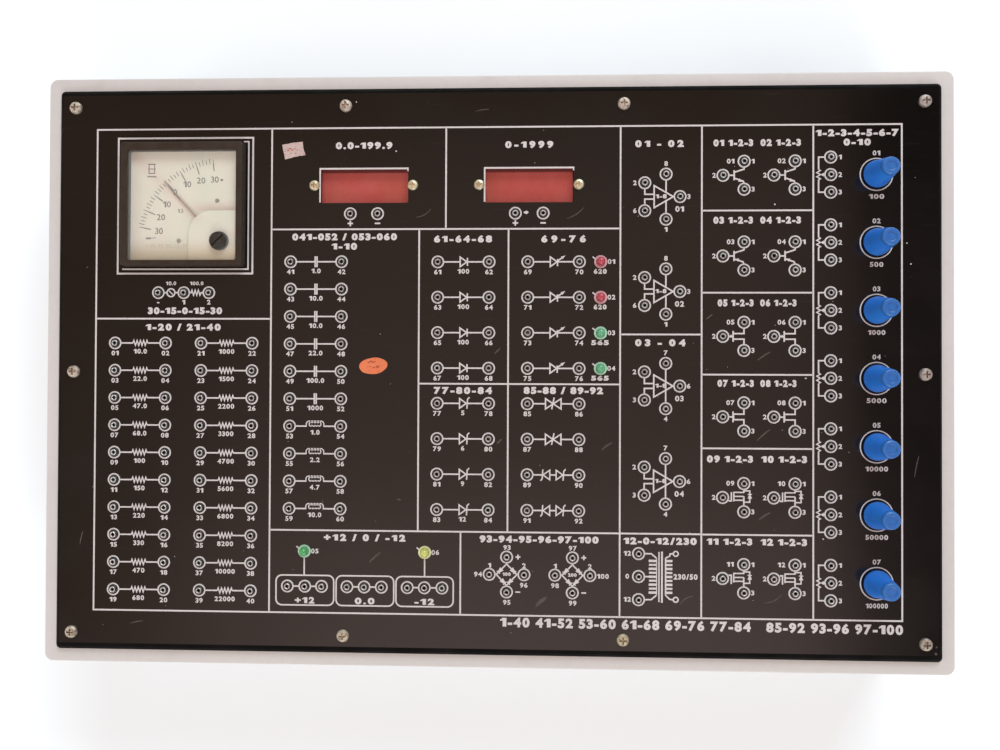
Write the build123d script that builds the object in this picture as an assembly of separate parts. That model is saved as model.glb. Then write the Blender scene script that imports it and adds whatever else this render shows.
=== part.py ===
from build123d import *
import os
import math

# Electronics component-bank trainer, flat bench case, panel facing up.
# Millimetres. +X right, +Y to the back (top of the panel), +Z up.
# Origin: centre of the footprint, rear fittings included, on the plane the feet
# rest on. The layout below is written about the panel's centre and shifted once.

os.makedirs("parts", exist_ok=True)

# ---------------------------------------------------------------- driving sizes
PANEL_X, PANEL_Y, PANEL_T = 516.8, 331.8, 3.2
PANEL_BEVEL = 2.0
CASE_X, CASE_Y = 533.0, 348.0        # 9 mm of case shows round the panel
SHEET = 1.2                          # case and base sheet
CORNER_R = 5.0
FOOT_H = 8.0
Z_BASE = FOOT_H                      # underside of the base plate
Z_CASE = Z_BASE + SHEET              # underside of the bottom flange
Z_TOP = 75.0                         # top of the top flange = underside of panel
ZP = Z_TOP + PANEL_T                 # panel face
TOP_OPEN_X, TOP_OPEN_Y = 480.0, 290.0
BOT_OPEN_X, BOT_OPEN_Y = 505.0, 320.0

# 2 mm socket
SOCKET_BORE_R = 1.0
SOCKET_BORE_DEPTH = 12.0
FERRULE_R, FERRULE_HEAD_R, FERRULE_HEAD_H = 1.5, 1.75, 0.6
BUSH_R, BUSH_FLANGE_R, BUSH_FLANGE_H = 2.07, 2.5, 0.8
SOCKET_HOLE_R = 2.1
TAIL_R = 0.5
Z_FERRULE_TOP = ZP + BUSH_FLANGE_H + FERRULE_HEAD_H
Z_FERRULE_END = 66.0
Z_TAIL_END = 58.2

# screws
M4_SHANK_R, M4_HOLE_R, M4_NUT_BORE_R = 1.95, 2.25, 2.0
M4_HEAD_R, M4_HEAD_H = 3.6, 2.3
M3_SHANK_R, M3_HOLE_R, M3_NUT_BORE_R = 1.45, 1.6, 1.5
M3_HEAD_R, M3_HEAD_H = 2.8, 1.9

# knobs and potentiometers
KNOB_X = 220.7
KNOB_Y = [113.3 - 39.06 * k for k in range(7)]
KNOB_BASE_R, KNOB_TOP_R, KNOB_H = 7.8, 5.1, 18.2
KNOB_GAP = 0.6
SHAFT_R = 3.0
POT_R, POT_H = 12.0, 9.5
POT_BUSH_R, POT_BUSH_H = 3.9, 8.0

# LEDs
LED_R, LED_FLANGE_R, LED_H = 2.5, 2.9, 8.6
LED_HOLE_R = 2.6

# galvanometer
GX, GY = -181.8, 96.9                # centre of the bezel
G_BEZEL, G_BEZEL_H = 72.4, 6.3
G_BODY, G_BODY_D = 66.0, 38.0
G_CUT = 68.0
G_WIN = 64.4
PVX, PVY = -159.5, 74.0              # pointer pivot
AJX, AJY = -159.8, 75.15             # zero adjuster, beside the pivot's axis
POINTER_REST = 133.1                 # degrees from +X to the middle of the scale
POINTER_R = 49.9

# digital meters
METERS = [(-75.6, 108.3), (21.35, 108.3)]
WIN_X, WIN_Y = 52.5, 20.5
METER_SCREW_DX = 29.0

# rear inlet module
IMX, IMZ = 190.0, 42.0
BACK = CASE_Y / 2
BACK_PROUD = 4.927                   # how far the rocker stands out of the back
Y_SHIFT = -BACK_PROUD / 2

# ---------------------------------------------------------------- layout
SOCKETS = []
SOCKETS += [(x, 45.3) for x in (-197.6, -182.3, -167.3)]
SOCKETS += [(x, 91.7) for x in (-83.4, -67.3, 13.5, 29.7)]
SOCKETS += [(x, 15.5 - 16.16 * k) for k in range(10) for x in (-223.3, -193.0, -171.7, -141.2)]
SOCKETS += [(x, 63.5 - 16.1 * k) for k in range(10) for x in (-118.6, -88.4)]
SOCKETS += [(x, 63.3 - 20.68 * k) for k in range(4) for x in (-31.7, -1.7, 20.9, 50.8)]
SOCKETS += [(x, -19.3 - 20.64 * k) for k in range(4) for x in (-31.7, -1.7, 20.9, 50.8)]
IC_Y = [101.0, 46.0, -8.7, -63.7]
for y in IC_Y:
    SOCKETS += [(100.75, y + 13.1), (88.5, y + 8.1), (108.8, y), (88.5, y - 8.1), (100.75, y - 13.1)]
TR_Y = [113.2, 66.5, 20.1, -26.3, -72.7, -119.2]
for y in TR_Y:
    SOCKETS += [(145.5, y + 8.1), (133.4, y), (145.5, y - 8.1), (174.6, y + 8.1), (162.5, y), (174.6, y - 8.1)]
for y in KNOB_Y:
    SOCKETS += [(194.8, y + 10.1), (194.8, y), (194.8, y - 10.1)]
SOCKETS += [(x, -126.8) for x in (-119.3, -109.0, -99.1, -84.1, -74.0, -63.9, -48.7, -38.7, -28.4)]
for x in (9.2, 47.3):
    SOCKETS += [(x, -108.4), (x - 10.1, -118.5), (x + 10.1, -118.5), (x, -128.6)]
SOCKETS += [(85.4, y) for y in (-105.5, -118.7, -132.0)]

LED_RED = [(63.2, 63.3), (63.2, 42.6)]
LED_GREEN = [(63.2, 21.9), (63.2, 1.3), (-109.4, -106.3)]
LED_YELLOW = [(-38.6, -106.3)]
LEDS = LED_RED + LED_GREEN + LED_YELLOW

PANEL_SCREWS = [(sx * 248.0, y) for sx in (-1, 1) for y in (155.2, -1.5, -155.2)]
PANEL_SCREWS += [(x, sy * 155.2) for x in (-86.3, 76.4) for sy in (-1, 1)]
BASE_SCREWS = [(sx * 200.0, sy * 166.4) for sx in (-1, 1) for sy in (-1, 1)]
BASE_SCREWS += [(0.0, 166.4), (0.0, -166.4), (258.6, 0.0), (-258.6, 0.0)]
FEET = [(sx * 235.0, sy * 145.0) for sx in (-1, 1) for sy in (-1, 1)]
METER_SCREWS = [(x + s * METER_SCREW_DX, y) for x, y in METERS for s in (-1, 1)]

# transformer and supply board on the base
TX, TY = 206.0, 96.0
TR_BOLTS = [(TX - 34.0, TY), (TX + 34.0, TY)]
SBX, SBY, SB_X, SB_Y = 138.0, -20.0, 84.0, 70.0
PILLARS = [(SBX + sx * 37.0, SBY + sy * 30.0) for sx in (-1, 1) for sy in (-1, 1)]
Z_SB = Z_CASE + 7.0                  # underside of the supply board

# boards under the socket banks: x0, x1, y0, y1
Z_BOARD = 59.4
BOARD_T = 1.6
BOARDS = [(-229.0, -135.5, -136.0, 22.0), (-125.0, -82.0, -88.0, 70.0), (-38.0, 69.0, -88.0, 70.0),
          (82.0, 115.0, -82.0, 120.0), (128.0, 180.0, -132.0, 126.0), (-126.0, 95.0, -138.0, -100.0)]


# ---------------------------------------------------------------- helpers
def turned(points):
    """Solid of revolution about Z from (radius, height) points."""
    wire = Polyline(*[(r, z) for r, z in points], close=True)
    return revolve(Plane.XZ * make_face(wire), Axis.Z)


def box(x0, x1, y0, y1, z0, z1):
    return Pos((x0 + x1) / 2, (y0 + y1) / 2, (z0 + z1) / 2) * Box(x1 - x0, y1 - y0, z1 - z0)


def rbox(cx, cy, sx, sy, z0, z1, r):
    """Upright block with rounded vertical edges."""
    return Pos(cx, cy, z0) * extrude(RectangleRounded(sx, sy, r), z1 - z0)


def rod(x, y, z0, z1, r):
    return Pos(x, y, (z0 + z1) / 2) * Cylinder(r, z1 - z0)


def rod_x(x0, x1, y, z, r):
    return Pos((x0 + x1) / 2, y, z) * Rot(0, 90, 0) * Cylinder(r, x1 - x0)


def hexbar(af, h):
    return extrude(RegularPolygon(af / math.sqrt(3), 6), h)


def plate(sx, sy, t, z0, r, circles=(), rects=(), slots=()):
    """Flat plate with holes, cut as one outline."""
    outer = RectangleRounded(sx, sy, r).face().outer_wire()
    inner = [Pos(x, y) * Circle(cr) for x, y, cr in circles]
    inner += [Pos(x, y) * RectangleRounded(w, h, rr) for x, y, w, h, rr in rects]
    inner += [Pos(x, y) * SlotOverall(w, h) for x, y, w, h in slots]
    face = Face(outer, [s.face().outer_wire() for s in inner])
    if face.normal_at().Z < 0:
        face = -face
    return Pos(0, 0, z0) * extrude(face, t, dir=(0, 0, 1))


def put(name, shapes):
    if not isinstance(shapes, (list, tuple)):
        shapes = [shapes]
    solids = []
    for s in shapes:
        solids += [q.moved(Location((0, Y_SHIFT, 0))) for q in s.solids()]
    obj = solids[0] if len(solids) == 1 else Compound(solids)
    obj.label = name
    export_step(obj, "parts/" + name + ".step")
    print(name, len(solids))


def at(shape, points, z=0.0):
    return [Pos(x, y, z) * shape for x, y in points]


# ---------------------------------------------------------------- case
def make_case():
    h = Z_TOP - Z_CASE
    outer = rbox(0, 0, CASE_X, CASE_Y, Z_CASE, Z_TOP, CORNER_R)
    outer = fillet(outer.edges().group_by(Axis.Z)[-1], 1.1)
    inner = rbox(0, 0, CASE_X - 2 * SHEET, CASE_Y - 2 * SHEET, Z_CASE + SHEET, Z_TOP - SHEET, CORNER_R - SHEET)
    top = rbox(0, 0, TOP_OPEN_X, TOP_OPEN_Y, Z_TOP - 5, Z_TOP + 5, 4)
    bottom = rbox(0, 0, BOT_OPEN_X, BOT_OPEN_Y, Z_CASE - 5, Z_CASE + 5, 4)
    cut = [inner, top, bottom]
    cut += [rod(x, y, Z_TOP - 3, Z_TOP + 1, M4_HOLE_R) for x, y in PANEL_SCREWS]
    cut += [rod(x, y, Z_CASE - 1, Z_CASE + 3, M4_HOLE_R) for x, y in BASE_SCREWS]
    cut.append(box(IMX - 24.0, IMX + 24.0, BACK - 4, BACK + 4, IMZ - 14.0, IMZ + 14.0))
    # louvre slots in the back wall beside the transformer
    slot = Rot(90, 0, 0) * extrude(SlotOverall(26, 3), 3, both=True)
    cut += [Pos(90.0 + 0.0, BACK, 24.0 + 7.0 * k) * slot for k in range(6)]
    cut += [Pos(125.0 + 0.0, BACK, 24.0 + 7.0 * k) * slot for k in range(6)]
    return outer - cut


def make_base():
    circles = [(x, y, M4_HOLE_R) for x, y in BASE_SCREWS + FEET + TR_BOLTS]
    slots = [(SBX + 40.0 * s, SBY - 55.0 - 7.0 * k, 34.0, 3.0) for s in (-0.5, 0.5) for k in range(6)]
    slots += [(TX - 55.0, TY - 24.0 + 7.0 * k, 26.0, 3.0) for k in range(8)]
    b = plate(CASE_X - 3, CASE_Y - 3, SHEET, Z_BASE, 4.0, circles, (), slots)
    pillars = [rod(x, y, Z_CASE - 0.4, Z_SB, 3.2) for x, y in PILLARS]
    b = b + pillars
    return b - [rod(x, y, Z_CASE + 0.5, Z_SB + 1, M3_NUT_BORE_R) for x, y in PILLARS]


def pan_screw(head_r, head_h, shank_r, length, cross):
    """Pan head with a cross recess, head seat at z = 0, shank down."""
    pts = [(0, head_h), (head_r * 0.45, head_h), (head_r * 0.8, head_h * 0.86), (head_r * 0.96, head_h * 0.55),
           (head_r, head_h * 0.28), (head_r, 0.0), (shank_r, 0.0), (shank_r, -length + 0.5), (shank_r - 0.5, -length), (0, -length)]
    s = turned(pts)
    w = cross * 0.24
    arm = Pos(0, 0, head_h) * Box(cross, w, head_h * 1.1)
    arm2 = Pos(0, 0, head_h) * Box(w, cross, head_h * 1.1)
    return s - [arm, arm2]


put("case_shell", make_case())
put("base_plate", make_base())

panel_screw = pan_screw(M4_HEAD_R, M4_HEAD_H, M4_SHANK_R, 9.6, 4.2)
base_screw = Rot(180, 0, 0) * pan_screw(M4_HEAD_R, M4_HEAD_H, M4_SHANK_R, 6.6, 4.2)
foot_screw = Rot(180, 0, 0) * pan_screw(M4_HEAD_R, M4_HEAD_H, M4_SHANK_R, 9.0, 4.2)
put("panel_screws", at(panel_screw, PANEL_SCREWS, ZP))
put("base_screws", at(base_screw, BASE_SCREWS + TR_BOLTS, Z_BASE) + at(foot_screw, FEET, 4.4))

nut = turned([(M4_NUT_BORE_R, 0), (4.0, 0), (4.0, 2.2), (3.6, 3.0), (M4_NUT_BORE_R, 3.0)])
put("clinch_nuts", at(nut, BASE_SCREWS, Z_CASE + SHEET) + at(nut, FEET, Z_CASE)
    + at(nut, TR_BOLTS, Z_CASE + SHEET) + at(Pos(0, 0, 3.0) * Rot(180, 0, 0) * nut, PANEL_SCREWS, Z_TOP - SHEET - 3.0))

foot = turned([(2.15, 4.4), (4.8, 4.4), (4.8, 0), (8.2, 0), (9.0, 0.8), (10.2, 7.4), (9.7, 8.0), (2.15, 8.0)])
put("feet", at(foot, FEET))

# ---------------------------------------------------------------- panel
circles = [(x, y, SOCKET_HOLE_R) for x, y in SOCKETS]
circles += [(x, y, M4_HOLE_R) for x, y in PANEL_SCREWS]
circles += [(x, y, LED_HOLE_R) for x, y in LEDS]
circles += [(x, y, M3_HOLE_R) for x, y in METER_SCREWS]
circles += [(KNOB_X, y, POT_BUSH_R + 0.1) for y in KNOB_Y]
rects = [(x, y, WIN_X, WIN_Y, 0.8) for x, y in METERS] + [(GX, GY, G_CUT, G_CUT, 1.5)]
panel = plate(PANEL_X, PANEL_Y, PANEL_T, Z_TOP, 2.6, circles, rects)
rim = [e for e in panel.edges().group_by(Axis.Z)[-1] if e.length > 100 or (abs(e.center().X) > PANEL_X / 2 - 3 and abs(e.center().Y) > PANEL_Y / 2 - 3)]
panel = chamfer(rim, PANEL_BEVEL)
put("front_panel", panel)

# ---------------------------------------------------------------- sockets
zh = ZP + BUSH_FLANGE_H
ferrule = turned([(SOCKET_BORE_R, Z_FERRULE_TOP - SOCKET_BORE_DEPTH), (SOCKET_BORE_R, Z_FERRULE_TOP - 0.25),
                  (SOCKET_BORE_R + 0.25, Z_FERRULE_TOP), (FERRULE_HEAD_R - 0.2, Z_FERRULE_TOP),
                  (FERRULE_HEAD_R, Z_FERRULE_TOP - 0.2), (FERRULE_HEAD_R, zh), (FERRULE_R, zh),
                  (FERRULE_R, Z_FERRULE_END), (TAIL_R, Z_FERRULE_END), (TAIL_R, Z_TAIL_END), (0, Z_TAIL_END),
                  (0, Z_FERRULE_TOP - SOCKET_BORE_DEPTH)])
bushing = turned([(FERRULE_R + 0.03, Z_TOP + 0.2), (BUSH_R, Z_TOP + 0.2), (BUSH_R, ZP), (BUSH_FLANGE_R, ZP),
                  (BUSH_FLANGE_R, ZP + 0.45), (BUSH_FLANGE_R - 0.35, zh), (FERRULE_R + 0.03, zh)])
socket_nut = Pos(0, 0, Z_TOP - 2.0) * (hexbar(5.5, 2.0) - Cylinder(FERRULE_R + 0.03, 10))
put("socket_ferrules", at(ferrule, SOCKETS))
put("socket_bushings", at(bushing, SOCKETS))
put("socket_nuts", at(socket_nut, SOCKETS))

# ---------------------------------------------------------------- galvanometer
zb = ZP - G_BODY_D
body = rbox(GX, GY, G_BODY, G_BODY, zb, ZP, 1.5) + rbox(GX, GY, 70.2, 70.2, ZP, ZP + 1.2, 2.0)
body = body - rbox(GX, GY, 63.4, 63.4, zb + 2.0, ZP + 2.0, 1.0)
G_STUDS = [(GX - 14.0, GY + 12.0), (GX + 14.0, GY + 12.0)]
G_DIAL_SCREWS = [(-162.0, 99.3), (-184.8, 75.7)]
body = body + [rod(x, y, zb + 1.5, ZP + 1.2, 2.2) for x, y in G_DIAL_SCREWS]
body = body - [rod(x, y, ZP - 2.0, ZP + 3, 0.82) for x, y in G_DIAL_SCREWS]
body = body - [rod(x, y, zb - 1, zb + 3, M3_HOLE_R) for x, y in G_STUDS]
put("galvo_case", body)

bezel = rbox(GX, GY, G_BEZEL, G_BEZEL, ZP, ZP + G_BEZEL_H, 1.6)
bezel = fillet(bezel.edges().group_by(Axis.Z)[-1], 0.8)
bezel = bezel - [rbox(GX, GY, 70.5, 70.5, ZP - 1, ZP + 1.25, 2.1), rbox(GX, GY, 67.0, 67.0, ZP, ZP + 1.8, 1.0),
                 rbox(GX + 0.3, GY - 0.85, G_WIN, G_WIN + 0.2, ZP, ZP + 9, 1.0), rbox(GX + 0.3, GY - 0.85, 66.4, 66.4, ZP + 4.3, ZP + 5.53, 1.2)]
put("galvo_bezel", bezel)

glass = rbox(GX + 0.3, GY - 0.85, 66.2, 66.2, ZP + 4.3, ZP + 5.5, 1.1) - rod(AJX, AJY, ZP, ZP + 9, 4.6)
put("galvo_glass", glass)

dial = rbox(GX, GY, 66.6, 66.6, ZP + 1.22, ZP + 1.72, 0.9)
dial = dial - [rod(PVX, PVY, ZP, ZP + 9, 5.0)] - [rod(x, y, ZP, ZP + 9, 0.85) for x, y in G_DIAL_SCREWS]
put("galvo_dial", dial)

# cover over the movement: a lid with one large rounded corner, walls on the two
# sides the pointer never sweeps
wx1, wy0 = GX + 0.3 + G_WIN / 2 - 0.35, GY - 0.95 - G_WIN / 2 + 0.35
cx0, cy1 = -178.2, 93.2
lid = box(cx0, wx1, wy0, cy1, ZP + 3.0, ZP + 3.6)
corner = [e for e in lid.edges().filter_by(Axis.Z) if abs(e.center().X - cx0) < 0.1 and abs(e.center().Y - cy1) < 0.1]
lid = fillet(corner, 14.0)
cover = lid + box(wx1 - 0.9, wx1, wy0, cy1 - 4, ZP + 1.74, ZP + 3.2) + box(cx0 + 4, wx1, wy0, wy0 + 0.9, ZP + 1.74, ZP + 3.2)
cover = cover - rod(AJX, AJY, ZP, ZP + 9, 2.0)
put("galvo_cover", cover)

# zero adjuster: slotted head above the glass, held by a flange below it
adj = turned([(0, ZP + 3.7), (5.6, ZP + 3.7), (5.6, ZP + 4.25), (4.52, ZP + 4.25), (4.52, ZP + 5.54), (5.1, ZP + 5.54),
              (5.1, ZP + 6.3), (4.75, ZP + 6.7), (0, ZP + 6.7)])
adj = adj - Pos(0, 0, ZP + 6.7) * Rot(0, 0, 45) * Box(9.0, 1.3, 1.6)
put("galvo_adjuster", Pos(AJX, AJY, 0) * adj)

# pointer points to the middle of the scale at rest
pts = [(-6.6, -1.2), (-6.6, 1.2), (0, 0.75), (POINTER_R - 12, 0.45), (POINTER_R, 0.12), (POINTER_R, -0.12),
       (POINTER_R - 12, -0.45), (0, -0.75)]
blade = extrude(make_face(Polyline(*pts, close=True)), 0.3) + Pos(0, 0, 0.15) * Cylinder(2.4, 0.3)
blade = blade - Cylinder(0.62, 5)
put("galvo_pointer", Pos(PVX, PVY, ZP + 2.3) * Rot(0, 0, POINTER_REST) * blade)

zc = ZP - 16.0                       # centre of the movement
CORE_R, GAP_IN, GAP_OUT, YOKE_R = 4.2, 4.7, 6.6, 7.3
frame = Box(2 * GAP_OUT, 3.0, 17.0) - Box(2 * GAP_IN, 4.0, 13.0)
staff = rod(0, 0, 7.0, 18.75, 0.6) + rod(0, 0, 7.0, 8.8, 1.6)
put("galvo_coil", Pos(PVX, PVY, zc) * Rot(0, 0, 45) * (frame + staff))

# yoke block with the gap bored through it, the core held by two arms that
# stay clear of the coil's sweep of 45 degrees each way
block = Pos(0, 4.75, 0) * Box(28.0, 26.5, 12.0) - Cylinder(YOKE_R, 20)
core = Cylinder(CORE_R, 11.0) + Box(2.4, 2 * YOKE_R + 1.0, 2.4)
leg_h = zc - 6.0 - (zb + 2.0)
legs = [Pos(s * 10.0, 14.0, -6.0 - leg_h / 2) * Box(5.0, 5.0, leg_h) for s in (-1, 1)]
magnet = Pos(PVX, PVY, zc) * Rot(0, 0, 45) * (block + core + legs)
magnet = magnet & box(GX - 31.0, GX + 31.0, GY - 31.0, GY + 31.0, zb, ZP)
put("galvo_magnet", magnet)

# rear terminals and the two clamps that hold the body in the panel
stud = turned([(0, 0), (0, 3.0), (2.8, 3.0), (2.8, 0.0), (M3_SHANK_R, 0.0), (M3_SHANK_R, -13.0), (0, -13.0)])
clamps = []
for s in (-1, 1):
    xs = GX + s * (G_BODY / 2)
    clamps.append(box(min(xs, xs + s * 1.0), max(xs, xs + s * 1.0), GY - 6, GY + 6, Z_TOP - 24, Z_TOP)
                  + box(min(xs, xs + s * 5.5), max(xs, xs + s * 5.5), GY - 6, GY + 6, Z_TOP - 1.2, Z_TOP))
put("galvo_fixings", at(stud, G_STUDS, zb + 2.0) + clamps)

# ---------------------------------------------------------------- digital meters
filters, housings, displays = [], [], []
for x, y in METERS:
    f = rbox(x, y, 51.6, 22.8, Z_TOP - 3.0, Z_TOP - 1.4, 0.8)
    filters.append(f)
    h = box(x - 33, x + 33, y - 12.6, y + 12.6, 61.4, Z_TOP)
    h = h - box(x - 25.9, x + 25.9, y - 11.5, y + 11.5, Z_TOP - 3.02, Z_TOP + 1) - box(x - 25.3, x + 25.3, y - 9.6, y + 9.6, 60, Z_TOP)
    h = h - [rod(x + s * METER_SCREW_DX, y, 60, Z_TOP + 1, M3_HOLE_R) for s in (-1, 1)]
    housings.append(h)
    d = box(x - 25.1, x + 25.1, y - 9.5, y + 9.5, 64.4, Z_TOP - 3.6)
    for k in range(-2, 2):
        cxd = x + 6.2 + 12.4 * k
        for dx, dy, sx, sy in ((0, 6.6, 6.0, 1.2), (0, 0, 6.0, 1.2), (0, -6.6, 6.0, 1.2), (-3.8, 3.3, 1.2, 5.2), (3.8, 3.3, 1.2, 5.2), (-3.8, -3.3, 1.2, 5.2), (3.8, -3.3, 1.2, 5.2)):
            if k == -2 and dx <= 0:
                continue
            d = d - box(cxd + dx - sx / 2, cxd + dx + sx / 2, y + dy - sy / 2, y + dy + sy / 2, Z_TOP - 3.9, Z_TOP)
    legs8 = [rod(x - 20 + 5 * i, y + s * 7.6, 61.5, 64.6, 0.25) for i in range(9) for s in (-1, 1)]
    displays.append(d + legs8)
put("meter_filters", filters)
put("meter_housings", housings)
put("meter_displays", displays)

meter_screw = pan_screw(3.1, 2.0, M3_SHANK_R, 22.0, 3.4)
sb_screw = pan_screw(M3_HEAD_R, M3_HEAD_H, M3_SHANK_R, 7.0, 3.2)
dial_screw = turned([(0, 0.45), (1.0, 0.4), (1.3, 0.0), (0.8, 0.0), (0.8, -2.2), (0, -2.2)])
put("small_screws", at(meter_screw, METER_SCREWS, ZP) + at(sb_screw, PILLARS, Z_SB + BOARD_T)
    + at(dial_screw, G_DIAL_SCREWS, ZP + 1.73))
m3_nut = hexbar(5.5, 2.4) - Cylinder(M3_NUT_BORE_R, 10)
put("small_nuts", at(m3_nut, METER_SCREWS, 59.8 - 2.4) + at(m3_nut, G_STUDS, zb - 2.4))

# ---------------------------------------------------------------- LEDs
dome_z = Z_TOP - 1.0 + LED_H - LED_R
led = turned([(0, Z_TOP - 1.0), (LED_FLANGE_R, Z_TOP - 1.0), (LED_FLANGE_R, Z_TOP - 0.02), (LED_R, Z_TOP - 0.02), (LED_R, dome_z)]
             + [(LED_R * math.cos(math.radians(a)), dome_z + LED_R * math.sin(math.radians(a))) for a in range(10, 90, 10)]
             + [(0, dome_z + LED_R)])
led = led + [rod(s * 1.27, 0, Z_BOARD + BOARD_T + 0.1, Z_TOP - 0.9, 0.25) for s in (-1, 1)]
put("leds_red", at(led, LED_RED))
put("leds_green", at(led, LED_GREEN))
put("led_yellow", at(led, LED_YELLOW))

# ---------------------------------------------------------------- potentiometers and knobs
pot = rod(0, 0, Z_TOP - 1.2 - POT_H, Z_TOP - 1.2, POT_R) + rod(0, 0, Z_TOP - 1.3, ZP + 3.6, POT_BUSH_R)
pot = pot + box(-POT_R - 9.0, -POT_R + 2.0, -7.5, 7.5, Z_TOP - 6.2, Z_TOP - 4.6)
for s in (-5.0, 0.0, 5.0):
    pot = pot + box(-POT_R - 10.4, -POT_R - 8.5, s - 1.0, s + 1.0, Z_TOP - 5.8, Z_TOP - 5.3)
pot = pot - rod(0, 0, Z_TOP - 8.0, ZP + 9, SHAFT_R + 0.04)
put("pot_bodies", at(pot, [(KNOB_X, y) for y in KNOB_Y]))
pot_nut = Pos(0, 0, ZP + 0.02) * (hexbar(11.0, 2.2) - Cylinder(POT_BUSH_R + 0.03, 10))
put("pot_nuts", at(pot_nut, [(KNOB_X, y) for y in KNOB_Y]) + at(Pos(0, 0, Z_TOP - 1.15) * (Cylinder(8.0, 1.1, align=(Align.CENTER, Align.CENTER, Align.MIN)) - Cylinder(POT_BUSH_R + 0.03, 10)), [(KNOB_X, y) for y in KNOB_Y]))

zk = ZP + KNOB_GAP
shaft = rod(0, 0, Z_TOP - 7.9, zk + 12.0, SHAFT_R)
shaft = shaft - box(-4, 4, SHAFT_R - 0.8, 5, ZP + 4.4, zk + 13)
# short foot running up into a tapered finger grip with a shallow ring in its end
knob = turned([(0, 0), (KNOB_BASE_R - 0.3, 0), (KNOB_BASE_R, 0.4), (KNOB_BASE_R, 1.6), (KNOB_BASE_R - 0.2, 2.3),
               (KNOB_BASE_R - 0.45, 3.4), (KNOB_BASE_R - 1.15, 7.4), (KNOB_BASE_R - 1.85, 11.8),
               (KNOB_TOP_R + 0.15, 16.3), (KNOB_TOP_R, 17.1), (KNOB_TOP_R - 0.25, 17.8), (KNOB_TOP_R - 0.8, KNOB_H),
               (2.9, KNOB_H), (2.9, KNOB_H - 0.35), (2.3, KNOB_H - 0.6), (0, KNOB_H - 0.6)])
knob = knob - [rod(0, 0, -1, 3.4, 6.7), rod(0, 0, -1, 12.2, SHAFT_R + 0.01)]
knob = knob + box(-3.0, 3.0, SHAFT_R - 0.79, SHAFT_R + 0.3, 4.0, 12.4)
for k, y in enumerate(KNOB_Y):
    put("shaft_%d" % (k + 1), Pos(KNOB_X, y, 0) * shaft)
    put("knob_%d" % (k + 1), Pos(KNOB_X, y, zk) * knob)

# ---------------------------------------------------------------- circuit boards
boards = []
for x0, x1, y0, y1 in BOARDS:
    b = box(x0, x1, y0, y1, Z_BOARD, Z_BOARD + BOARD_T)
    holes = [rod(x, y, Z_BOARD - 1, Z_BOARD + 3, TAIL_R + 0.12) for x, y in SOCKETS if x0 < x < x1 and y0 < y < y1]
    boards.append(b - holes)
sb = box(SBX - SB_X / 2, SBX + SB_X / 2, SBY - SB_Y / 2, SBY + SB_Y / 2, Z_SB, Z_SB + BOARD_T)
boards.append(sb - [rod(x, y, Z_SB - 1, Z_SB + 3, M3_HOLE_R) for x, y in PILLARS])
for x, y in METERS:
    boards.append(box(x - 32, x + 32, y - 12.4, y + 12.4, 59.8, 61.4)
                  - [rod(x + s * METER_SCREW_DX, y, 59, 62, M3_HOLE_R) for s in (-1, 1)])
put("circuit_boards", boards)


# ---------------------------------------------------------------- components under the boards
# each prototype hangs from z = 0, the underside of its board
def axial(length, r, span, drop=2.6):
    s = turned([(0, -length / 2), (r, -length / 2), (r, -length / 2 + 1.2), (r * 0.86, -length / 2 + 1.5),
                (r * 0.86, length / 2 - 1.5), (r, length / 2 - 1.2), (r, length / 2), (0, length / 2)])
    s = Pos(0, 0, -drop) * Rot(0, 90, 0) * s
    for k in (-1, 1):
        s = s + rod_x(min(k * (length / 2 - 0.2), k * span), max(k * (length / 2 - 0.2), k * span), 0, -drop, 0.32)
        s = s + rod(k * span, 0, -drop - 0.3, 0, 0.32)
    return s


def radial_can(r, h, pitch):
    s = turned([(0, -1.0 - h), (r - 0.4, -1.0 - h), (r, -1.4 - h + 0.8), (r, -2.6), (r - 0.35, -2.2), (r, -1.8), (r, -1.0), (0, -1.0)])
    return s + [rod(k * pitch / 2, 0, -1.4, 0, 0.3) for k in (-1, 1)]


def disc(r, t):
    s = Pos(0, 0, -r - 1.6) * Rot(90, 0, 0) * turned([(0, -t / 2), (r * 0.8, -t / 2), (r, 0), (r * 0.8, t / 2), (0, t / 2)])
    return s + [rod(k * 2.5, 0, -3.4, 0, 0.3) for k in (-1, 1)]


def spool(r, h):
    s = turned([(0, -1.0 - h), (r, -1.0 - h), (r, -h), (r * 0.78, -h), (r * 0.78, -2.0), (r, -2.0), (r, -1.0), (0, -1.0)])
    return s + [rod(k * 2.5, 0, -1.4, 0, 0.35) for k in (-1, 1)]


def to92():
    face = Circle(2.3) - Pos(0, -2.6) * Rectangle(8, 2.4)
    s = Pos(0, 0, -9.4) * extrude(face, 4.7)
    return s + [box(k * 1.27 - 0.25, k * 1.27 + 0.25, -0.25, 0.25, -5.0, 0) for k in (-1, 0, 1)]


def to220():
    s = box(-5.0, 5.0, -1.4, 3.0, -14.0, -5.0) + box(-5.0, 5.0, -1.4, -0.1, -20.0, -5.2)
    s = s - Pos(0, -1, -17.0) * Rot(90, 0, 0) * Cylinder(1.8, 5)
    return s + [box(k * 2.54 - 0.4, k * 2.54 + 0.4, 0.6, 1.1, -5.4, 0) for k in (-1, 0, 1)]


def dip8():
    s = box(-4.8, 4.8, -3.2, 3.2, -4.6, -1.3) - Pos(-4.8, 0, -4.6) * Cylinder(0.8, 1.0)
    for i in range(4):
        for k in (-1, 1):
            x = -3.81 + 2.54 * i
            s = s + box(x - 0.4, x + 0.4, min(k * 3.0, k * 3.9), max(k * 3.0, k * 3.9), -3.2, -2.9)
            s = s + box(x - 0.25, x + 0.25, min(k * 3.6, k * 3.9), max(k * 3.6, k * 3.9), -3.2, 0)
    return s


def round_bridge(r, h):
    s = rod(0, 0, -2.0 - h, -2.0, r)
    return s + [rod(a * 2.6, b * 2.6, -2.4, 0, 0.4) for a in (-1, 1) for b in (-1, 1)]


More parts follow.
